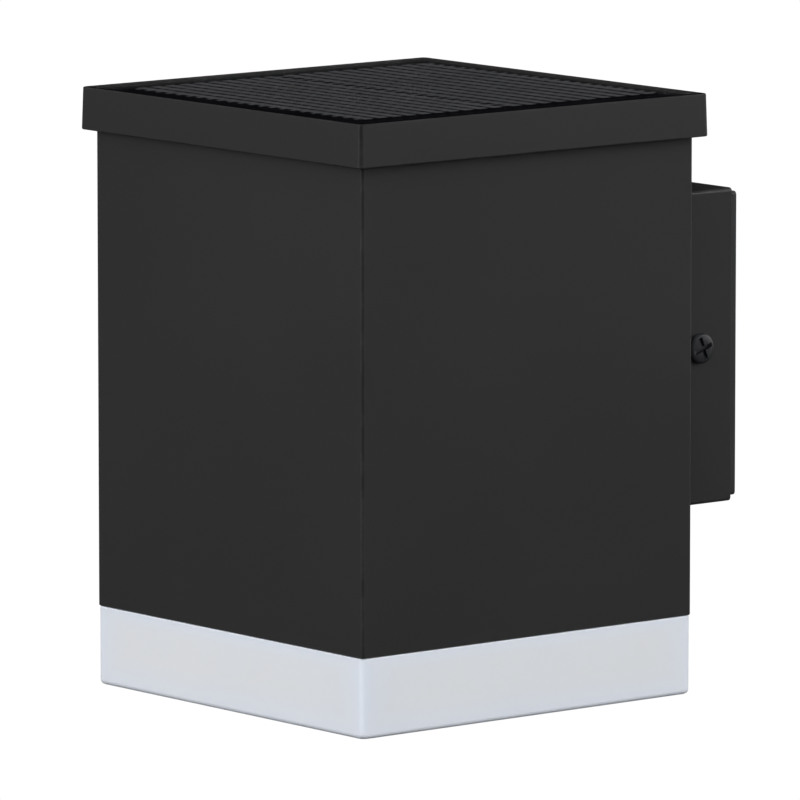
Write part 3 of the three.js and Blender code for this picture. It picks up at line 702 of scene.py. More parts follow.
def finish(
    name,
    base,
    roughness,
    second=None,
    spread_roughness=0.06,
    metallic=0.0,
    grain=900.0,
    mottle=40.0,
    pitting=0.3,
    bump=0.12,
    bump_size=0.00004,
    wear=0.25,
    wear_colour=None,
    dust=0.06,
    sockets=None,
    pattern=None,
):
    """A procedural finish: base colour with mottling, worn edges (on the powder coats also a
    painted edge highlight), settled dust and a fine bump.

    pattern(tree, position, colour, roughness, height) returns the last three, changed or not.
    """
    known = bpy.data.materials.get(name)
    if known:
        return known
    material = bpy.data.materials.new(name)
    material.use_nodes = True
    material.diffuse_color = (*base, 1)
    tree = material.node_tree
    shader = tree.nodes["Principled BSDF"]
    where = tree.nodes.new("ShaderNodeTexCoord").outputs["Object"]
    skin = add_node(tree, "ShaderNodeGroup", {"node_tree": grain_effect()}, Vector=where)
    for label, value in (("Grain Scale", grain), ("Mottle Scale", mottle), ("Pitting", pitting)):
        skin.inputs[label].default_value = value
    edge = add_node(tree, "ShaderNodeAttribute", {"attribute_name": "edge"})
    worn = add_node(
        tree,
        "ShaderNodeGroup",
        {"node_tree": wear_effect()},
        Vector=where,
        Edge=edge.outputs["Fac"],
        Amount=wear,
    )
    facing = tree.nodes.new("ShaderNodeNewGeometry").outputs["Normal"]
    film = add_node(
        tree,
        "ShaderNodeGroup",
        {"node_tree": dust_effect()},
        Vector=where,
        Normal=facing,
        Amount=dust,
    )
    second = second or tuple(min(1.0, value * 1.25 + 0.001) for value in base)
    wear_colour = wear_colour or tuple(min(1.0, value * 1.5 + 0.03) for value in base)
    shade = blended(tree, skin.outputs["Mottle"], base, second)
    rough = spread(
        tree,
        skin.outputs["Mottle"],
        0.0,
        1.0,
        max(0.02, roughness - spread_roughness),
        min(1.0, roughness + spread_roughness),
    )
    height = skin.outputs["Height"]
    if pattern:
        shade, rough, height = pattern(tree, where, shade, rough, height)
    # Lighter edges: wear, and on the powder coats also a painted edge highlight.
    shade = blended(tree, worn.outputs[0], shade, wear_colour)
    shade = blended(tree, film.outputs[0], shade, (0.42, 0.4, 0.37))
    rough = math_node(tree, "ADD", rough, math_node(tree, "MULTIPLY", film.outputs[0], 0.8))
    raised = add_node(
        tree, "ShaderNodeBump", Strength=bump, Distance=bump_size, Height=height
    )
    tree.links.new(shade, shader.inputs["Base Color"])
    tree.links.new(rough, shader.inputs["Roughness"])
    tree.links.new(raised.outputs[0], shader.inputs["Normal"])
    shader.inputs["Metallic"].default_value = metallic
    for label, value in (sockets or {}).items():
        shader.inputs[label].default_value = value
    return material


def colours():
    """The scene's colour settings."""
    return bpy.context.scene.lantern_colours


def sizes():
    """The scene's size settings."""
    return bpy.context.scene.lantern_sizes


def powder_coat():
    """Satin black powder coat with a faint orange peel, and lighter edges that are partly thin
    paint and partly a painted edge highlight.
    """
    return finish(
        "Powder coat",
        tuple(colours().powder),
        0.42,
        second=(0.014, 0.014, 0.0143),
        spread_roughness=0.012,
        grain=1500.0,
        mottle=26.0,
        bump=0.16,
        bump_size=0.00005,
        # Edge lightening: partly thin paint, partly a painted edge highlight.
        wear=0.3,
        dust=0.012,
        sockets={"Specular IOR Level": 0.45},
    )


def shaded_cap_coat():
    """The body's powder coat in a deeper black for the cap: painted shade on the cap."""
    return finish(
        "Cap powder coat",
        tuple(colours().cap),
        0.5,
        second=(0.0103, 0.0103, 0.0106),
        spread_roughness=0.012,
        grain=1500.0,
        mottle=26.0,
        bump=0.16,
        bump_size=0.00005,
        # Edge lightening: partly thin paint, partly a painted edge highlight.
        wear=0.3,
        dust=0.012,
        sockets={"Specular IOR Level": 0.38},
    )


def plate_paint():
    """Matte black paint of the wall plate."""
    return finish(
        "Plate paint",
        tuple(colours().plate),
        0.5,
        spread_roughness=0.02,
        grain=1300.0,
        mottle=60.0,
        bump=0.2,
        wear=0.45,
        wear_colour=(0.1, 0.1, 0.105),
    )


def zinc_plate():
    """Bright zinc plating with fine scratches and a bluish bloom."""

    def scratched(tree, where, shade, rough, height):
        long = add_node(tree, "ShaderNodeMapping", Vector=where, Scale=(900.0, 60.0, 900.0))
        scratch = add_node(
            tree, "ShaderNodeTexNoise", Vector=long.outputs[0], Scale=1.0, Detail=3.0
        ).outputs[0]
        line = spread(tree, scratch, 0.58, 0.66)
        shade = blended(tree, math_node(tree, "MULTIPLY", line, 0.3), shade, (0.4, 0.41, 0.43))
        rough = math_node(tree, "ADD", rough, math_node(tree, "MULTIPLY", line, 0.15))
        return shade, rough, math_node(tree, "SUBTRACT", height, line)

    return finish(
        "Zinc plate",
        (0.62, 0.63, 0.65),
        0.3,
        second=(0.54, 0.56, 0.62),
        metallic=1.0,
        grain=1800.0,
        mottle=160.0,
        bump=0.08,
        wear=0.4,
        wear_colour=(0.75, 0.75, 0.76),
        dust=0.03,
        pattern=scratched,
    )


def blackened_steel():
    """Blackened steel of the side screws, bluish, with rubbed edges."""
    return finish(
        "Blackened steel",
        tuple(colours().screw),
        0.5,
        second=(0.009, 0.0098, 0.0125),
        metallic=0.2,
        grain=2600.0,
        mottle=300.0,
        bump=0.15,
        wear=0.2,
        wear_colour=(0.05, 0.053, 0.06),
        dust=0.0,
    )


def black_rubber():
    """Matte rubber with a dull bloom."""
    return finish(
        "Black rubber",
        (0.018, 0.018, 0.018),
        0.8,
        second=(0.035, 0.034, 0.033),
        grain=1400.0,
        mottle=110.0,
        pitting=0.6,
        bump=0.3,
        dust=0.08,
        sockets={"Specular IOR Level": 0.3},
    )


def black_plastic():
    """Moulded black plastic with a spark-eroded texture."""
    return finish(
        "Moulded black plastic",
        (0.02, 0.02, 0.021),
        0.48,
        grain=2000.0,
        mottle=120.0,
        pitting=0.8,
        bump=0.3,
    )


def white_plastic():
    """Moulded white plastic."""
    return finish(
        "Moulded white plastic",
        (0.74, 0.73, 0.68),
        0.42,
        second=(0.7, 0.68, 0.62),
        grain=1700.0,
        mottle=100.0,
        bump=0.15,
        wear_colour=(0.8, 0.79, 0.75),
        sockets={"Subsurface Weight": 0.08, "Subsurface Scale": 0.0012},
    )


def white_paint():
    """Satin white paint of the tray."""
    return finish(
        "White tray paint",
        (0.72, 0.72, 0.7),
        0.38,
        second=(0.66, 0.66, 0.63),
        grain=1300.0,
        mottle=45.0,
        bump=0.2,
        wear=0.35,
        wear_colour=(0.5, 0.5, 0.5),
        dust=0.1,
    )


def white_mask():
    """White solder mask of the LED board with its printed tracks showing through."""
    return finish(
        "White solder mask",
        (0.76, 0.77, 0.76),
        0.3,
        second=(0.7, 0.72, 0.7),
        grain=1500.0,
        mottle=70.0,
        bump=0.1,
        pattern=track_pattern(0.14, (0.6, 0.63, 0.6)),
        sockets={"Coat Weight": 0.3, "Coat Roughness": 0.12},
    )


def green_board():
    """Green solder mask with raised tracks and tinned pads."""
    return finish(
        "Green solder mask",
        (0.008, 0.075, 0.026),
        0.32,
        second=(0.01, 0.1, 0.034),
        grain=1500.0,
        mottle=80.0,
        bump=0.4,
        bump_size=0.00006,
        pattern=track_pattern(0.75, (0.02, 0.17, 0.06)),
        sockets={"Coat Weight": 0.4, "Coat Roughness": 0.1},
    )


def track_pattern(strength, track_colour):
    """Copper tracks under a solder mask, as a grid of square runs."""

    def tracks(tree, where, shade, rough, height):
        cells = add_node(
            tree,
            "ShaderNodeTexVoronoi",
            {"distance": "MANHATTAN", "feature": "F1"},
            Vector=where,
            Scale=210.0,
            Randomness=0.7,
        )
        rings = math_node(tree, "PINGPONG", cells.outputs["Distance"], 0.16)
        run = spread(tree, rings, 0.07, 0.09)
        shade = blended(tree, math_node(tree, "MULTIPLY", run, strength), shade, track_colour)
        via = spread(tree, cells.outputs["Distance"], 0.1, 0.08)
        shade = blended(tree, math_node(tree, "MULTIPLY", via, 0.8), shade, (0.5, 0.5, 0.47))
        return shade, rough, math_node(tree, "ADD", height, math_node(tree, "MULTIPLY", run, 1.5))

    return tracks


def frosted_plastic():
    """Frosted translucent diffuser plastic, with a painted cool reflection along its edges."""

    def banded(tree, where, shade, rough, height):
        low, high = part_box("diffuser")
        parts = add_node(tree, "ShaderNodeSeparateXYZ", Vector=where)
        painted_floor_reflection = spread(tree, parts.outputs[2], low.z + 0.009, low.z)
        painted_rim_reflection = spread(tree, parts.outputs[2], high.z - 0.0075, high.z - 0.0033)
        reach = (high.x - low.x) / 2
        across = math_node(tree, "ABSOLUTE", parts.outputs[0])
        along = math_node(
            tree, "ABSOLUTE", math_node(tree, "SUBTRACT", parts.outputs[1], middle("diffuser").y)
        )
        outer = math_node(tree, "MINIMUM", across, along)
        painted_corner_reflection = spread(tree, outer, reach - 0.012, reach)
        ends = math_node(tree, "MAXIMUM", painted_floor_reflection, painted_rim_reflection)
        edge = math_node(tree, "MAXIMUM", ends, painted_corner_reflection)
        # Painted cool reflection: a bluish tint along the cup's bottom edge, its corners and just
        # below the body's rim.
        shade = blended(tree, math_node(tree, "MULTIPLY", edge, 0.55), shade, (0.76, 0.83, 0.97))
        return shade, rough, height

    return finish(
        "Frosted plastic",
        tuple(colours().frosted),
        0.4,
        second=(0.8, 0.82, 0.85),
        grain=2400.0,
        mottle=22.0,
        bump=0.025,
        wear=0.0,
        dust=0.02,
        pattern=banded,
        sockets={
            "Subsurface Weight": 0.35,
            "Subsurface Radius": (0.9, 0.95, 1.0),
            "Subsurface Scale": 0.003,
            "Specular IOR Level": 0.4,
        },
    )


def gloss_black():
    """Black lacquer of the solar panel's board, the cells' backing and the cap's rim."""
    return finish(
        "Panel black",
        (0.003, 0.003, 0.004),
        0.2,
        grain=1500.0,
        mottle=60.0,
        bump=0.03,
        wear=0.0,
        dust=0.0,
        sockets={"Specular IOR Level": 0.15},
    )


def silicon_bars():
    """Blue-black silicon with a fine crystal shimmer."""

    def crystals(tree, where, shade, rough, height):
        grains = add_node(tree, "ShaderNodeTexVoronoi", Vector=where, Scale=420.0)
        parts = add_node(tree, "ShaderNodeSeparateColor", Color=grains.outputs["Color"])
        shade = blended(
            tree, math_node(tree, "MULTIPLY", parts.outputs[0], 0.12), shade, (0.03, 0.034, 0.05)
        )
        return shade, rough, height

    return finish(
        "Silicon bars",
        tuple(colours().silicon),
        0.5,
        grain=2500.0,
        mottle=120.0,
        bump=0.012,
        wear=0.0,
        dust=0.0,
        pattern=crystals,
    )


def tinned_wire():
    """Dull tinned copper of the fine wires."""
    return finish(
        "Tinned wire",
        (0.08, 0.08, 0.082),
        0.45,
        metallic=0.3,
        grain=3000.0,
        mottle=300.0,
        bump=0.1,
        dust=0.0,
    )


def clear_cover():
    """Clear cover sheet: a thin gloss film with a light haze."""
    material = finish(
        "Clear cover",
        (0.012, 0.012, 0.014),
        0.1,
        spread_roughness=0.03,
        grain=700.0,
        mottle=55.0,
        bump=0.004,
        wear=0.0,
        dust=0.0,
    )
    tree = material.node_tree
    skin = next(node for node in tree.nodes if node.type == "GROUP" and "Mottle" in node.outputs)
    film = spread(tree, skin.outputs["Mottle"], 0.0, 1.0, 0.05, 0.07)
    tree.links.new(film, tree.nodes["Principled BSDF"].inputs["Alpha"])
    return material


def phosphor():
    """Yellow phosphor under clear resin."""
    return finish(
        "Phosphor",
        (0.85, 0.62, 0.1),
        0.25,
        second=(0.8, 0.52, 0.07),
        grain=4000.0,
        mottle=500.0,
        bump=0.15,
        wear=0.0,
        dust=0.0,
        sockets={"Subsurface Weight": 0.2, "Subsurface Scale": 0.0005, "Coat Weight": 0.6},
    )


def ferrite():
    """Sintered ferrite, dark and slightly porous."""
    return finish(
        "Ferrite",
        (0.045, 0.041, 0.039),
        0.62,
        second=(0.07, 0.064, 0.06),
        grain=2600.0,
        mottle=260.0,
        pitting=1.0,
        bump=0.4,
    )


def copper_wire():
    """Enamelled copper."""
    return finish(
        "Enamelled copper",
        (0.5, 0.19, 0.06),
        0.25,
        second=(0.6, 0.25, 0.09),
        metallic=1.0,
        grain=2500.0,
        mottle=400.0,
        bump=0.06,
        wear=0.0,
        dust=0.02,
    )


def lead_skin(name, base, second):
    """Soft insulation of a lead."""
    return finish(
        name, base, 0.45, second=second, grain=1800.0, mottle=160.0, bump=0.12, wear=0.0, dust=0.05
    )


def red_insulation():
    """Red insulation."""
    return lead_skin("Red insulation", (0.5, 0.02, 0.018), (0.4, 0.014, 0.012))


def black_insulation():
    """Black insulation."""
    return lead_skin("Black insulation", (0.014, 0.014, 0.014), (0.028, 0.027, 0.026))


def battery_sleeve():
    """Shrink sleeve with a pale band near its plus end and slight wrinkles at its ends."""

    def wrapped(tree, where, shade, rough, height):
        low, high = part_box("battery_cell")
        parts = add_node(tree, "ShaderNodeSeparateXYZ", Vector=where)
        inner = spread(tree, parts.outputs[0], high.x - 0.017, high.x - 0.0166)
        outer = spread(tree, parts.outputs[0], high.x - 0.0091, high.x - 0.0095)
        band = math_node(tree, "MULTIPLY", inner, outer)
        shade = blended(tree, band, shade, (0.62, 0.64, 0.6))
        seam = spread(tree, parts.outputs[1], low.y + 0.0042, low.y + 0.0038)
        shade = blended(tree, math_node(tree, "MULTIPLY", seam, 0.35), shade, (0.02, 0.12, 0.05))
        along = add_node(tree, "ShaderNodeMapping", Vector=where, Scale=(90.0, 700.0, 700.0))
        crease = add_node(tree, "ShaderNodeTexNoise", Vector=along.outputs[0], Scale=1.0)
        near_end = spread(tree, parts.outputs[0], low.x + 0.006, low.x)
        wrinkle = math_node(tree, "MULTIPLY", crease.outputs[0], near_end)
        deep = math_node(tree, "MULTIPLY", wrinkle, 6.0)
        return shade, rough, math_node(tree, "ADD", height, deep)

    return finish(
        "Battery sleeve",
        tuple(colours().sleeve),
        0.28,
        grain=900.0,
        mottle=90.0,
        bump=0.18,
        wear=0.15,
        dust=0.05,
        pattern=wrapped,
        sockets={"Coat Weight": 0.5, "Coat Roughness": 0.15},
    )


def chip_resin():
    """Moulded resin of a chip."""
    return finish(
        "Chip resin",
        (0.016, 0.016, 0.017),
        0.55,
        grain=3200.0,
        mottle=260.0,
        pitting=0.8,
        bump=0.35,
        wear=0.1,
    )


# ---- Pieces ----

# Half widths, depths and radii in millimetres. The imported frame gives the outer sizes.
FLAT_HALF = 30
SHEET = 2
PANEL_GAP = 0.3
RIM_WIDTH = 1.6
SKIRT_DEPTH = 11.2
SKIRT_INSIDE = 55.3
COLLAR_OUTSIDE = 52.7
COLLAR_INSIDE = 51.1
GROMMET_HOLE = 4
LEDGE_RISE = 4.2
LEDGE_REACH = 7
BOSS_RADIUS, BOSS_BORE, BOSS_DEPTH = 4.5, 2.1, 8
TRAY_SCREW_HOLE = 1.75
SWITCH_HOLE = 5.75
LIP_INSET = 2.3
POST_RADIUS, POST_BORE, POST_DEPTH = 3, 1.6, 9
CANOPY_FLAT = 20
CANOPY_SHEET = 1.2
CANOPY_FRONT = 1.5
SCREW_HOLE = 2.25
WASHER_BORE, WASHER_RADIUS = 2.2, 3.6


class LANTERN_OT_cap(bpy.types.Operator):
    """Makes the solar cap's shell, its skirt flared a little outwards."""

    bl_idname = "lantern.cap"
    bl_label = "Solar cap"

    def execute(self, context):
        low, high = (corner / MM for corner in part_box("cap_shell"))
        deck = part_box("panel_adhesive")[0].z / MM - 0.1
        under = deck - SHEET
        recess = (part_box("panel_board")[1] - middle("panel_board")).x / MM + PANEL_GAP
        skirt = (high.x - low.x) / 2
        rim = recess + RIM_WIDTH
        hem = high.z - SKIRT_DEPTH
        ease = sizes().sheet_ease / MM
        profile = [
            (FLAT_HALF, deck, 1, 0),
            (recess, deck, 1, 0.25),
            (recess, high.z, 1, 0.2),
            (rim, high.z, 1, ease),
            (skirt, hem, 1.3, ease),
            (SKIRT_INSIDE, hem, 0.8, 0.2),
            (SKIRT_INSIDE, under, 0.8, 0.3),
            (COLLAR_OUTSIDE, under, 0.8, 0.2),
            (COLLAR_OUTSIDE, low.z, 0.8, 0.4),
            (COLLAR_INSIDE, low.z, 0.4, 0.3),
            (COLLAR_INSIDE, under, 0.4, 0.2),
            (FLAT_HALF, under, 0.4, 0),
        ]
        mesh = square_loft(profile)
        centre = middle("cap_shell")
        moved(mesh, Matrix.Translation((centre.x, centre.y, 0)))
        grommet = middle("lead_grommet") / MM
        hole = rod(GROMMET_HOLE, under - 1, deck + 1, (grommet.x, grommet.y, 0))
        mesh = boolean(mesh, [hole], "DIFFERENCE")
        rim_level = (high.z - 0.3) * MM
        for face in mesh.polygons:
            if face.normal.z > 0.9 and face.center.z > rim_level:
                face.material_index = 1
        # The cap's darker coat is painted shade.
        piece("solar_cap", mesh, [shaded_cap_coat(), gloss_black()], "powder_black", "cap_shell")
        return {"FINISHED"}


class LANTERN_OT_solar_panel(bpy.types.Operator):
    """Makes the two solar cells, the black board under them and the clear cover."""

    bl_idname = "lantern.solar_panel"
    bl_label = "Solar panel"

    def execute(self, context):
        self.board()
        for name in ("front_cell", "back_cell"):
            self.cell(name)
        return {"FINISHED"}

    def board(self):
        """The board and its cover, thin sheets with round corners."""
        for node, name, material, slot in (
            ("panel_board", "panel_sheet", gloss_black(), "panel_black"),
            ("panel_cover", "panel_clear_sheet", clear_cover(), "clear_cover"),
        ):
            low, high = (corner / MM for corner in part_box(node))
            half = (high.x - low.x) / 2
            profile = [
                (FLAT_HALF, low.z, 0.8, 0),
                (half, low.z, 0.8, 0.1),
                (half, high.z, 0.8, 0.12),
                (FLAT_HALF, high.z, 0.8, 0),
            ]
            mesh = square_loft(profile, steps=2)
            moved(mesh, Matrix.Translation((0, middle(node).y, 0)))
            piece(name, mesh, material, slot, node)

    def cell(self, node):
        """Silicon bars on a thin backing, crossed by fine wires that reach into the gap."""
        low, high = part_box(node)
        count = sizes().bar_count
        backing_front = low.y
        if node == "front_cell":
            low.y += sizes().front_margin
        pitch = (high.y - low.y) / count
        depth = pitch * sizes().bar_share
        backing_top = low.z + 0.00021
        bar_top = low.z + 0.00025
        backing = block(
            Vector((low.x, backing_front, low.z)) / MM, Vector((high.x, high.y, backing_top)) / MM
        )
        bars = grown(
            bar_row_tree(),
            {
                "Bar Size": (high.x - low.x, depth, bar_top - backing_top),
                "Count": count,
                "First": ((low.x + high.x) / 2, low.y + pitch / 2, (backing_top + bar_top) / 2),
                "Step": (0, pitch, 0),
                "Material": silicon_bars(),
            },
        )
        wires = sizes().wire_count
        across = (high.x - low.x) / wires
        wire_size = (sizes().wire_width, high.y - low.y, 0.00005)
        strands = grown(
            bar_row_tree(),
            {
                "Bar Size": wire_size,
                "Count": wires,
                "First": (
                    low.x + across / 2,
                    (low.y + high.y) / 2,
                    bar_top + wire_size[2] / 2,
                ),
                "Step": (across, 0, 0),
                "Material": tinned_wire(),
            },
        )
        inset = (pitch - depth) / 2
        reach = inset + sizes().tab_reach
        tab_rows = [
            grown(
                bar_row_tree(),
                {
                    "Bar Size": (sizes().tab_width, reach, bar_top - backing_top),
                    "Count": wires,
                    "First": (low.x + across / 2, edge, (backing_top + bar_top) / 2),
                    "Step": (across, 0, 0),
                    "Material": silicon_bars(),
                },
            )
            for edge in (low.y + inset - reach / 2, high.y - inset + reach / 2)
        ]
        bars = together([bars, *tab_rows])
        mesh = together([backing, bars, strands], banded=True)
        materials = [gloss_black(), silicon_bars(), tinned_wire()]
        piece(node.replace("cell", "solar_cell"), mesh, materials, "silicon", node)


class LANTERN_OT_body(bpy.types.Operator):
    """Makes the square body: a folded wall, the ledge inside it and the screw bosses."""

    bl_idname = "lantern.body"
    bl_label = "Lamp body"

    def execute(self, context):
        low, high = (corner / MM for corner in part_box("body_shell"))
        half = (high.x - low.x) / 2
        inner = half - SHEET
        ease = sizes().sheet_ease / MM
        ledge = low.z + LEDGE_RISE
        profile = [
            (half, low.z, 0.8, ease),
            (half, high.z, 0.8, ease),
            (inner, high.z, 0.4, 0.3),
            (inner, ledge + SHEET, 0.4, 0.5),
            (inner - LEDGE_REACH, ledge + SHEET, 2, 0.3),
            (inner - LEDGE_REACH, ledge, 2, 0.3),
            (inner, ledge, 0.4, 0.3),
            (inner, low.z, 0.4, 0.3),
        ]
        mesh = square_loft(profile, closed=True)
        moved(mesh, Matrix.Translation((0, middle("body_shell").y, 0)))
        back = high.y
        screws = [middle(f"canopy_screw_{i}") / MM for i in range(1, 5)]
        bosses = [
            rod(BOSS_RADIUS, -BOSS_DEPTH, 1, (at.x, back - SHEET, at.z), TO_WALL) for at in screws
        ]
        mesh = boolean(mesh, bosses, "UNION")
        bores = [
            rod(BOSS_BORE, -BOSS_DEPTH - SHEET - 1, 2, (at.x, back, at.z), TO_WALL)
            for at in screws
        ]
        corner_screws = [middle(f"tray_screw_{i}") / MM for i in range(1, 5)]
        holes = [
            rod(TRAY_SCREW_HOLE, ledge - 1, ledge + 3, (at.x, at.y, 0)) for at in corner_screws
        ]
        switch = middle("switch_body") / MM
        hole = rod(SWITCH_HOLE, -4, 2, (switch.x, back, switch.z), TO_WALL)
        mesh = boolean(mesh, [*bores, *holes, hole], "DIFFERENCE")
        piece("lamp_body", mesh, powder_coat(), "powder_black", "body_shell")
        return {"FINISHED"}


class LANTERN_OT_diffuser(bpy.types.Operator):
    """Makes the frosted cup with its lip and four screw posts."""

    bl_idname = "lantern.diffuser"
    bl_label = "Diffuser"

    def execute(self, context):
        low, high = (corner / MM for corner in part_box("diffuser"))
        half = (high.x - low.x) / 2
        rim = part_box("body_shell")[0].z / MM - 0.1
        lip = half - LIP_INSET
        profile = [
            (FLAT_HALF, low.z, 1.6, 0),
            (half, low.z, 1.6, sizes().cup_ease / MM),
            (half, rim, 1.6, 0.3),
            (lip, rim, 0.5, 0.2),
            (lip, high.z, 0.5, 0.3),
            (lip - SHEET, high.z, 0.5, 0.3),
            (lip - SHEET, rim - 3.9, 0.5, 0.5),
            (half - SHEET, rim - 5.2, 1, 0.5),
            (half - SHEET, low.z + SHEET, 1, 0.9),
            (FLAT_HALF, low.z + SHEET, 1, 0),
        ]
        mesh = square_loft(profile, steps=4)
        moved(mesh, Matrix.Translation((0, middle("diffuser").y, 0)))
        screws = [middle(f"tray_screw_{i}") / MM for i in range(1, 5)]
        posts = [rod(POST_RADIUS, low.z + 1, high.z, (at.x, at.y, 0)) for at in screws]
        mesh = boolean(mesh, posts, "UNION")
        bores = [
            rod(POST_BORE, high.z - POST_DEPTH, high.z + 1, (at.x, at.y, 0)) for at in screws
        ]
        mesh = boolean(mesh, bores, "DIFFERENCE")
        piece("frosted_cup", mesh, frosted_plastic(), "frosted", "diffuser")
        return {"FINISHED"}


class LANTERN_OT_canopy(bpy.types.Operator):
    """Makes the canopy box and the wall plate that it slides over."""

    bl_idname = "lantern.canopy"
    bl_label = "Canopy and wall plate"

    def execute(self, context):
        low, high = (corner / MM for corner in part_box("canopy"))
        half = (high.x - low.x) / 2
        inner = half - CANOPY_SHEET
        ease = sizes().sheet_ease / MM
        profile = [
            (CANOPY_FLAT, -low.y, 1, 0),
            (half, -low.y, 1, ease),
            (half, -high.y, 1, 0.25),
            (inner, -high.y, 0.5, 0.25),
            (inner, -low.y - CANOPY_FRONT, 0.5, 0.3),
            (CANOPY_FLAT, -low.y - CANOPY_FRONT, 0.5, 0),
        ]
        mesh = moved(square_loft(profile), Matrix.Rotation(math.pi / 2, 4, "X"))
        screws = [middle(f"canopy_screw_{i}") / MM for i in range(1, 5)]
        holes = [rod(SCREW_HOLE, -1, 3, (at.x, low.y, at.z), TO_WALL) for at in screws]
        level = middle("right_washer") / MM
        holes.append(rod(SCREW_HOLE, -half - 2, half + 2, (0, level.y, level.z), TO_RIGHT))
        mesh = boolean(mesh, holes, "DIFFERENCE")
        piece("canopy_box", mesh, powder_coat(), "powder_black", "canopy")
        plate = eased_copy("wall_plate", 0.00025, segments=2)
        piece("bracket_plate", plate, plate_paint(), "black_steel", "wall_plate")
        return {"FINISHED"}


def cross_cutter(size, depth, top, waist):
    """A tapered cross that cuts a screw's recess, narrow at its floor."""
    made = bmesh.new()
    for turned in (False, True):
        rows = []
        for height, share in ((top + 0.4, 1.06), (top - depth, 0.55)):
            long, wide = size / 2 * share, waist / 2 * (0.7 + 0.3 * share)
            row = [(-long, -wide), (long, -wide), (long, wide), (-long, wide)]
            if turned:
                row = [(-y, x) for x, y in row]
            rows.append([made.verts.new((x * MM, y * MM, height * MM)) for x, y in row])
        made.faces.new(rows[0])
        made.faces.new(rows[1])
        for i in range(4):
            j = (i + 1) % 4
            made.faces.new((rows[0][i], rows[0][j], rows[1][j], rows[1][i]))
    bmesh.ops.recalc_face_normals(made, faces=made.faces)
    return as_mesh(made)


def machine_screw(shank, head, rise, length, pitch, recess, waist, depth, sides=32):
    """A pan head screw with a cross recess and a cut thread, in millimetres.

    shank and head are radii, recess and waist the cross's length and width, and depth is its
    depth. The head stands on z = 0.
    """
    rings = []
    rows = int(length / pitch * 6)
    thread_depth = 0.32 * pitch
    for row in range(rows + 1):
        height = -length + row / rows * (length - 0.4)
        start = min(1.0, (height + length) / 0.6)
        ring = []
        for i in range(sides):
            angle = i / sides * math.tau
            phase = (height / pitch - i / sides) % 1.0
            cut = thread_depth * abs(2 * phase - 1)
            radius = (shank - 0.35 * (1 - start)) - cut * start
            ring.append(Vector((radius * math.cos(angle), radius * math.sin(angle), height)))
        rings.append(ring)
    crown = [
        (shank * 0.97, -0.2, 0, 0),
        (shank * 0.97, 0, 0, 0),
        (head, 0, 0, 0.12),
        (head, 0.5 * rise, 0, 0.3 * rise),
        (0.86 * head, 0.86 * rise, 0, 0.2 * rise),
        (0.55 * head, rise, 0, 0.1 * rise),
        (0.12 * head, rise, 0, 0),
    ]
    rings += [round_ring(point.x, point.y, sides) for point in eased(crown)]
    mesh = lofted(rings)
    cutter = cross_cutter(recess, depth, rise, waist)
    base = held(mesh)
    tool = held(cutter)
    step = base.modifiers.new("recess", "BOOLEAN")
    step.operation = "DIFFERENCE"
    step.solver = "EXACT"
    step.use_self = True
    step.object = tool
    result = evaluated(base)
    bpy.data.objects.remove(tool)
    return result


class LANTERN_OT_side_screws(bpy.types.Operator):
    """Makes the canopy's side screws, their split lock washers and square nuts."""

    bl_idname = "lantern.side_screws"
    bl_label = "Side screws"

    def execute(self, context):
        for side, towards, turn in (("right", TO_RIGHT, 0.34), ("left", -TO_RIGHT, -0.34)):
            low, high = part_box(f"{side}_screw")
            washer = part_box(f"{side}_washer")
            out = 1 if side == "right" else -1
            seat = out * (max(abs(washer[0].x), abs(washer[1].x)) + 0.1 * MM)
            rise = max(abs(low.x), abs(high.x)) - abs(seat)
            screw = machine_screw(
                shank=2,
                head=4,
                rise=rise / MM,
                length=8,
                pitch=sizes().m4_pitch / MM,
                recess=7.3,
                waist=1.15,
                depth=0.75 * rise / MM,
                sides=48,
            )
            place = Vector((seat, middle(f"{side}_washer").y, middle(f"{side}_washer").z))
            stood(screw, place, towards, turn)
            piece(
                f"{side}_side_screw",
                screw,
                blackened_steel(),
                "dark_screw",
                f"{side}_screw",
            )
            self.washer(side)
            nut = eased_copy(f"{side}_nut", 0.0003)
            piece(f"{side}_square_nut", nut, zinc_plate(), "zinc_steel", f"{side}_nut")
        return {"FINISHED"}

    def washer(self, side):
        """A spring washer split at one place."""
        low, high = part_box(f"{side}_washer")
        thick = (high.x - low.x) / MM
        rings = []
        steps = 56
        split_at, split = 0.6, 0.18  # radians
        for i in range(steps + 1):
            angle = split_at + i / steps * (math.tau - split)
            section = []
            corner = 0.12
            points = [
                (WASHER_BORE + corner, -thick / 2),
                (WASHER_RADIUS - corner, -thick / 2),
                (WASHER_RADIUS, -thick / 2 + corner),
                (WASHER_RADIUS, thick / 2 - corner),
                (WASHER_RADIUS - corner, thick / 2),
                (WASHER_BORE + corner, thick / 2),
                (WASHER_BORE, thick / 2 - corner),
                (WASHER_BORE, -thick / 2 + corner),
            ]
            for radius, height in points:
                section.append(
                    Vector((radius * math.cos(angle), radius * math.sin(angle), height))
                )
            rings.append(section)
        mesh = stood(lofted(rings), middle(f"{side}_washer"), TO_RIGHT)
        piece(f"{side}_lock_washer", mesh, zinc_plate(), "zinc_steel", f"{side}_washer")


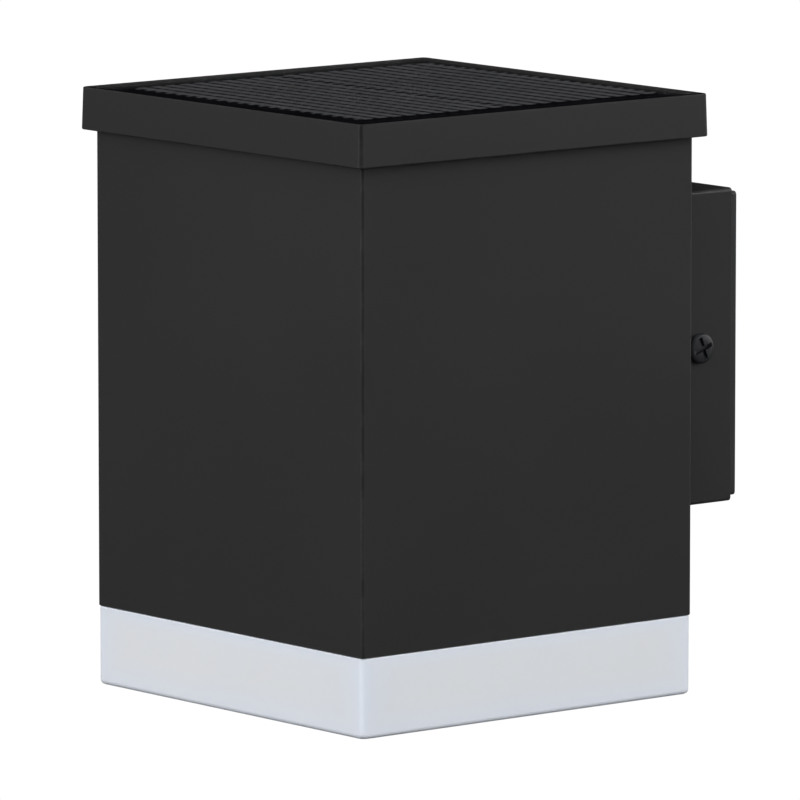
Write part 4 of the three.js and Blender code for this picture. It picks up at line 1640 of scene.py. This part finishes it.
class LANTERN_OT_inner_screws(bpy.types.Operator):
    """Makes the small screws inside the lamp, one set for each kind."""

    bl_idname = "lantern.inner_screws"
    bl_label = "Inner screws"

    def execute(self, context):
        m4 = {"shank": 2, "head": 4, "rise": 2.6, "recess": 5.0, "waist": 0.95, "depth": 1.5}
        m3 = {"shank": 1.5, "head": 2.8, "rise": 2, "recess": 3.4, "waist": 0.7, "depth": 1.1}
        m4["pitch"] = sizes().m4_pitch / MM
        m3["pitch"] = sizes().m3_pitch / MM
        self.set_of("canopy_screw", 4, TO_WALL, 8, m4)
        for kind, count, towards, length_mm in (
            ("tray_screw", 4, UP, 12),
            ("board_screw", 2, UP, 5),
            ("holder_screw", 2, UP, 3),
            ("led_board_screw", 2, -UP, 5),
        ):
            self.set_of(kind, count, towards, length_mm, m3)
        return {"FINISHED"}

    def set_of(self, kind, count, towards, length_mm, shape):
        """One kind of screw at each of its places, each head's top at the end of its box."""
        nodes = [f"{kind}_{i}" for i in range(1, count + 1)]
        head_height = shape["rise"] * MM
        places = []
        for node in nodes:
            low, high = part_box(node)
            centre = (low + high) / 2
            reach = abs((high - low).dot(towards)) / 2 - head_height
            places.append((centre + towards * reach, towards))
        screw = machine_screw(length=length_mm, sides=20, **shape)
        mesh = placed_parts(screw, places, zinc_plate())
        piece(f"{kind}s", mesh, zinc_plate(), "zinc_steel", *nodes)


class LANTERN_OT_power_switch(bpy.types.Operator):
    """Makes the power switch in the back wall: bezel, seal, nut and a button with a finger dish."""

    bl_idname = "lantern.power_switch"
    bl_label = "Power switch"

    def execute(self, context):
        shell = eased_copy("switch_body", sizes().part_ease)
        piece("switch_housing", shell, black_plastic(), "black_plastic", "switch_body")
        seal = eased_copy("switch_seal", 0.0001)
        piece("switch_gasket", seal, black_rubber(), "rubber_black", "switch_seal")
        nut = eased_copy("switch_nut", 0.00025)
        piece("switch_hex_nut", nut, zinc_plate(), "zinc_steel", "switch_nut")
        low, high = (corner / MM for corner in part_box("power_button"))
        depth = high.y - low.y
        radius = (high.x - low.x) / 2
        dish, dish_depth = radius - 1.2, 0.6
        profile = [
            (1, 0, 0),
            (radius, 0, 0.3),
            (radius, depth, 0.8),
            (dish, depth, 0.3),
            (radius - 2.2, depth - 0.45, 0.4),
            (0.4, depth - dish_depth, 0),
        ]
        button = round_loft(profile, sides=48, steps=4)
        centre = middle("power_button")
        stood(button, Vector((centre.x, low.y * MM, centre.z)), TO_WALL)
        piece("push_button", button, black_rubber(), "rubber_black", "power_button", sharp=50)
        return {"FINISHED"}


class LANTERN_OT_tray(bpy.types.Operator):
    """Makes the inner tray, the control board and what stands on it."""

    bl_idname = "lantern.tray"
    bl_label = "Tray and control board"

    def execute(self, context):
        ease = sizes().part_ease
        for node, name, material, slot, width in (
            ("inner_tray", "lamp_tray", white_paint(), "white_paint", ease),
            ("control_board", "charge_board", green_board(), "board_green", 0.0001),
            ("led_board", "light_board", white_mask(), "white_paint", 0.0001),
            ("solar_socket", "panel_socket", white_plastic(), "white_plastic", 0.0002),
            ("solar_plug", "panel_plug", white_plastic(), "white_plastic", 0.0003),
            ("lead_grommet", "cap_grommet", black_rubber(), "rubber_black", 0.0002),
            ("battery_holder", "cell_holder", black_plastic(), "black_plastic", 0.0003),
            ("contact_plate", "plus_contact", zinc_plate(), "zinc_steel", 0.0001),
            ("cap_gasket", "cap_seal", black_rubber(), "rubber_black", 0.0002),
            ("diffuser_gasket", "cup_seal", black_rubber(), "rubber_black", 0.00015),
            ("panel_adhesive", "panel_glue", black_rubber(), "rubber_black", 0.0001),
        ):
            piece(name, eased_copy(node, width), material, slot, node)
        self.chip()
        self.coil()
        return {"FINISHED"}

    def chip(self):
        """The controller chip with a row of legs on two sides."""
        low, high = (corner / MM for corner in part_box("control_chip"))
        leg_rows = []
        leg_width, leg_reach, leg_thick = 0.45, 1.0, 0.25
        end_gap = 0.8
        count = 8
        pitch = (high.x - low.x - 2 * end_gap) / (count - 1)
        for side in (-1, 1):
            y = low.y + 0.5 if side < 0 else high.y - 0.5
            leg_rows.append(
                grown(
                    bar_row_tree(),
                    {
                        "Bar Size": (leg_width * MM, leg_reach * MM, leg_thick * MM),
                        "Count": count,
                        "First": (
                            (low.x + end_gap) * MM,
                            y * MM,
                            (low.z + leg_thick / 2) * MM,
                        ),
                        "Step": (pitch * MM, 0, 0),
                        "Material": zinc_plate(),
                    },
                )
            )
        case = block(
            (low.x + 0.2, low.y + leg_reach, low.z + leg_thick),
            (high.x - 0.2, high.y - leg_reach, high.z),
            0.15,
        )
        mesh = together([case, together(leg_rows)], banded=True)
        materials = [chip_resin(), zinc_plate()]
        piece("charge_chip", mesh, materials, "rubber_black", "control_chip")

    def coil(self):
        """A ferrite drum with a copper winding."""
        low, high = (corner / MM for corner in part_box("charging_coil"))
        radius = (high.x - low.x) / 2
        tall = high.z - low.z
        core, flange = 2.6, 0.9
        wire_radius = 0.22
        drum = round_loft(
            [
                (1, 0, 0),
                (radius, 0, 0.2),
                (radius, flange, 0.2),
                (core, flange, 0.2),
                (core, tall - flange, 0.2),
                (radius, tall - flange, 0.2),
                (radius, tall, 0.2),
                (1, tall, 0),
            ],
            sides=48,
        )
        winding_radius = radius - 0.75
        winding = grown(
            coil_tree(),
            {
                "Turns": 9.0,
                "Start Radius": winding_radius * MM,
                "End Radius": winding_radius * MM,
                "Height": (tall - 2.45) * MM,
                "Wire Radius": wire_radius * MM,
                "Material": copper_wire(),
            },
        )
        moved(winding, Matrix.Translation((0, 0, 1.22 * MM)))
        mesh = together([drum, winding], banded=True)
        centre = middle("charging_coil")
        moved(mesh, Matrix.Translation((centre.x, centre.y, low.z * MM)))
        materials = [ferrite(), copper_wire()]
        piece("wound_coil", mesh, materials, "ferrite", "charging_coil")


class LANTERN_OT_leds(bpy.types.Operator):
    """Makes the six LED chips, each a white case round a phosphor lens."""

    bl_idname = "lantern.leds"
    bl_label = "LED chips"

    def execute(self, context):
        nodes = [f"led_chip_{i}" for i in range(1, 7)]
        low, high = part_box(nodes[0])
        half = (high.x - low.x) / MM / 2
        thick = (high.z - low.z) / MM
        lens_radius = half * 0.76
        case = block((-half, -half, 0), (half, half, thick - 0.15), 0.1)
        lens = round_loft(
            [
                (0.5, 0.3, 0),
                (lens_radius, 0.3, 0),
                (lens_radius, thick - 0.08, 0.1),
                (0.3, thick, 0),
            ],
            sides=24,
        )
        places = [(Vector((*middle(node).xy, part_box(node)[1].z)), -UP) for node in nodes]
        cases = placed_parts(case, places, white_plastic(), most_turn=0.0)
        lenses = placed_parts(lens, places, phosphor(), most_turn=0.0)
        mesh = together([cases, lenses], banded=True)
        piece("led_chips", mesh, [white_plastic(), phosphor()], "led_yellow", *nodes)
        return {"FINISHED"}


class LANTERN_OT_battery(bpy.types.Operator):
    """Makes the battery cell in its sleeve and the spring that presses on it."""

    bl_idname = "lantern.battery"
    bl_label = "Battery"

    def execute(self, context):
        self.cell()
        self.spring()
        return {"FINISHED"}

    def cell(self):
        """A sleeved can with a steel floor, an insulating ring and a plus button."""
        low, high = (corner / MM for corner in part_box("battery_cell"))
        tall = high.x - low.x
        radius = (high.z - low.z) / 2
        sleeve = round_loft(
            [
                (radius - 1.6, 0.3, 0),
                (radius - 1.4, 0, 0.2),
                (radius - 0.3, 0, 0.3),
                (radius, 0.5, 0.4),
                (radius, tall - 2.2, 0.6),
                (radius - 0.5, tall - 1.5, 0.3),
                (radius - 1.8, tall - 1.5, 0.2),
                (radius - 1.9, tall - 1.9, 0),
            ],
            sides=64,
        )
        floor = round_loft([(1, 0.15, 0), (radius - 1.2, 0.15, 0), (radius - 1.2, 1, 0), (1, 1, 0)])
        washer = round_loft(
            [
                (1, tall - 2.5, 0),
                (radius - 1.5, tall - 2.5, 0),
                (radius - 1.5, tall - 1.6, 0),
                (1, tall - 1.6, 0),
            ]
        )
        nub_radius = 3.2
        nub = round_loft(
            [
                (1, tall - 2, 0),
                (nub_radius, tall - 2, 0),
                (nub_radius, tall - 0.05, 0.5),
                (1, tall, 0),
            ],
            sides=40,
        )
        mesh = together([sleeve, together([floor, nub]), washer], banded=True)
        stood(mesh, Vector((low.x * MM, *middle("battery_cell").yz)), TO_RIGHT)
        materials = [battery_sleeve(), zinc_plate(), white_plastic()]
        piece("sleeved_battery", mesh, materials, "battery_green", "battery_cell")

    def spring(self):
        """The minus contact: a plate with a coil spring."""
        low, high = (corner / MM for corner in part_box("contact_spring"))
        plate_thick = 0.6
        plate = block((low.x, low.y, low.z), (low.x + plate_thick, high.y, high.z), 0.08)
        coil = grown(
            coil_tree(),
            {
                "Turns": 3.4,
                "Start Radius": 3.4 * MM,
                "End Radius": 2.4 * MM,
                "Height": (high.x - low.x - plate_thick - 0.9 + 0.45) * MM,
                "Wire Radius": 0.4 * MM,
                "Material": zinc_plate(),
            },
        )
        axis = middle("battery_cell")
        stood(coil, Vector(((low.x + plate_thick + 0.25) * MM, axis.y, axis.z)), TO_RIGHT)
        mesh = together([plate, coil])
        piece("minus_contact", mesh, zinc_plate(), "zinc_steel", "contact_spring")


class LANTERN_OT_leads(bpy.types.Operator):
    """Gives the leads their insulation."""

    bl_idname = "lantern.leads"
    bl_label = "Leads"

    def execute(self, context):
        for kind in ("led_lead", "battery_lead", "solar_lead"):
            paint(f"{kind}_red", red_insulation())
            paint(f"{kind}_black", black_insulation())
        return {"FINISHED"}


def paint(node, material):
    """Puts a material on a node that stays."""
    thing = frame["nodes"][node]
    thing.data.materials.clear()
    thing.data.materials.append(material)


# ---- Stage ----

FLOOR_HALF = 90  # m; far wider than any view of the lantern
CAMERA_GLOW = 1.02  # strength of the floor and of the sky towards the camera


class LANTERN_OT_stage(bpy.types.Operator):
    """Makes the pale floor, the softboxes, the sky and the camera."""

    bl_idname = "lantern.stage"
    bl_label = "Stage"

    def execute(self, context):
        studio = context.scene.lantern_studio
        self.floor(studio)
        self.sky(context)
        self.lights(studio)
        self.camera(context, studio)
        context.scene.view_settings.view_transform = "Standard"
        return {"FINISHED"}

    def floor(self, studio):
        """A wide pale floor, bright to the camera and softer in reflections."""
        made = bmesh.new()
        bmesh.ops.create_grid(made, x_segments=2, y_segments=2, size=FLOOR_HALF)
        mesh = as_mesh(made)
        moved(mesh, Matrix.Translation((0, 0, -studio.drop)))
        material = bpy.data.materials.new("Pale floor")
        material.use_nodes = True
        tree = material.node_tree
        tree.nodes.remove(tree.nodes["Principled BSDF"])
        path = tree.nodes.new("ShaderNodeLightPath")
        glow = add_node(tree, "ShaderNodeEmission", Color=(1, 1, 1, 1))
        power = spread(tree, path.outputs["Is Camera Ray"], 0, 1, 0.12, CAMERA_GLOW)
        tree.links.new(power, glow.inputs["Strength"])
        output = next(node for node in tree.nodes if node.type == "OUTPUT_MATERIAL")
        tree.links.new(glow.outputs[0], output.inputs[0])
        floor = bpy.data.objects.new("floor", mesh)
        bpy.context.scene.collection.objects.link(floor)
        floor.data.materials.append(material)

    def sky(self, context):
        """Dark grey to the camera; to everything else darker still, and brightest overhead."""
        world = bpy.data.worlds.new("Studio sky")
        context.scene.world = world
        world.use_nodes = True
        tree = world.node_tree
        backdrop = tree.nodes["Background"]
        where = tree.nodes.new("ShaderNodeTexCoord").outputs["Generated"]
        parts = add_node(tree, "ShaderNodeSeparateXYZ", Vector=where)
        overhead = spread(tree, parts.outputs[2], 0.45, 0.95, 0.01, 0.7)
        path = tree.nodes.new("ShaderNodeLightPath")
        power = tree.nodes.new("ShaderNodeMix")
        tree.links.new(path.outputs["Is Camera Ray"], power.inputs[0])
        tree.links.new(overhead, power.inputs[2])
        power.inputs[3].default_value = CAMERA_GLOW
        tree.links.new(power.outputs[0], backdrop.inputs["Strength"])

    def lights(self, studio):
        """Softboxes: one high behind the camera, one at each side, one overhead, one behind."""
        target = middle("body_shell")
        for name, place, size, power in (
            ("key softbox", (2.0, -1.9, 2.0), 2.2, studio.key),
            ("front softbox", (-1.2, -2.6, 0.9), 1.6, studio.side),
            ("side softbox", (2.7, 0.8, 0.9), 1.6, 0.42 * studio.side),
            ("top softbox", (0.3, -0.6, 2.6), 1.8, studio.top),
            ("rear softbox", (1.1, 2.8, 0.9), 1.4, studio.rear),
            ("left softbox", (-2.7, 0.1, 1.2), 1.4, 0.6 * studio.rear),
        ):
            light = bpy.data.lights.new(name, "AREA")
            light.shape = "SQUARE"
            light.size = size
            light.energy = power
            lamp = bpy.data.objects.new(name, light)
            bpy.context.scene.collection.objects.link(lamp)
            lamp.location = place
            lamp.visible_camera = False
            lamp.visible_glossy = name not in ("key softbox", "left softbox")
            lamp.rotation_euler = (Vector(place) - target).to_track_quat("Z", "Y").to_euler()

    def camera(self, context, studio):
        """The camera, a long lens with no depth of field."""
        data = bpy.data.cameras.new("camera")
        data.lens = studio.lens
        data.sensor_width = 36
        data.clip_start = 0.05
        data.clip_end = 400
        camera = bpy.data.objects.new("camera", data)
        context.scene.collection.objects.link(camera)
        camera.location = studio.eye
        camera.rotation_euler = Vector(studio.back).to_track_quat("Z", "Y").to_euler()
        context.scene.camera = camera


OPERATORS = (
    LANTERN_OT_stage,
    LANTERN_OT_cap,
    LANTERN_OT_solar_panel,
    LANTERN_OT_body,
    LANTERN_OT_diffuser,
    LANTERN_OT_canopy,
    LANTERN_OT_side_screws,
    LANTERN_OT_inner_screws,
    LANTERN_OT_power_switch,
    LANTERN_OT_tray,
    LANTERN_OT_leds,
    LANTERN_OT_battery,
    LANTERN_OT_leads,
)
SETTINGS = (LanternSizes, LanternColours, LanternStudio)


class LANTERN_PT_panel(bpy.types.Panel):
    """Lists the settings and the pieces."""

    bl_idname = "LANTERN_PT_panel"
    bl_label = "Solar Wall Lantern"
    bl_space_type = "VIEW_3D"
    bl_region_type = "UI"
    bl_category = "Lantern"

    def draw(self, context):
        for group in ("lantern_sizes", "lantern_colours", "lantern_studio"):
            settings = getattr(context.scene, group)
            box = self.layout.box()
            for name in settings.__annotations__:
                box.prop(settings, name)
        for operator in OPERATORS:
            self.layout.operator(operator.bl_idname)


def register():
    """Adds the classes and the scene settings."""
    for kind in (*SETTINGS, *OPERATORS, LANTERN_PT_panel):
        bpy.utils.register_class(kind)
    bpy.types.Scene.lantern_sizes = PointerProperty(type=LanternSizes)
    bpy.types.Scene.lantern_colours = PointerProperty(type=LanternColours)
    bpy.types.Scene.lantern_studio = PointerProperty(type=LanternStudio)


def unregister():
    """Takes the scene settings and the classes away."""
    for group in ("lantern_sizes", "lantern_colours", "lantern_studio"):
        delattr(bpy.types.Scene, group)
    for kind in reversed((*SETTINGS, *OPERATORS, LANTERN_PT_panel)):
        bpy.utils.unregister_class(kind)


def main():
    """Registers the add-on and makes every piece."""
    register()
    for operator in OPERATORS:
        group, name = operator.bl_idname.split(".")
        getattr(getattr(bpy.ops, group), name)()


if __name__ == "__main__":
    main()
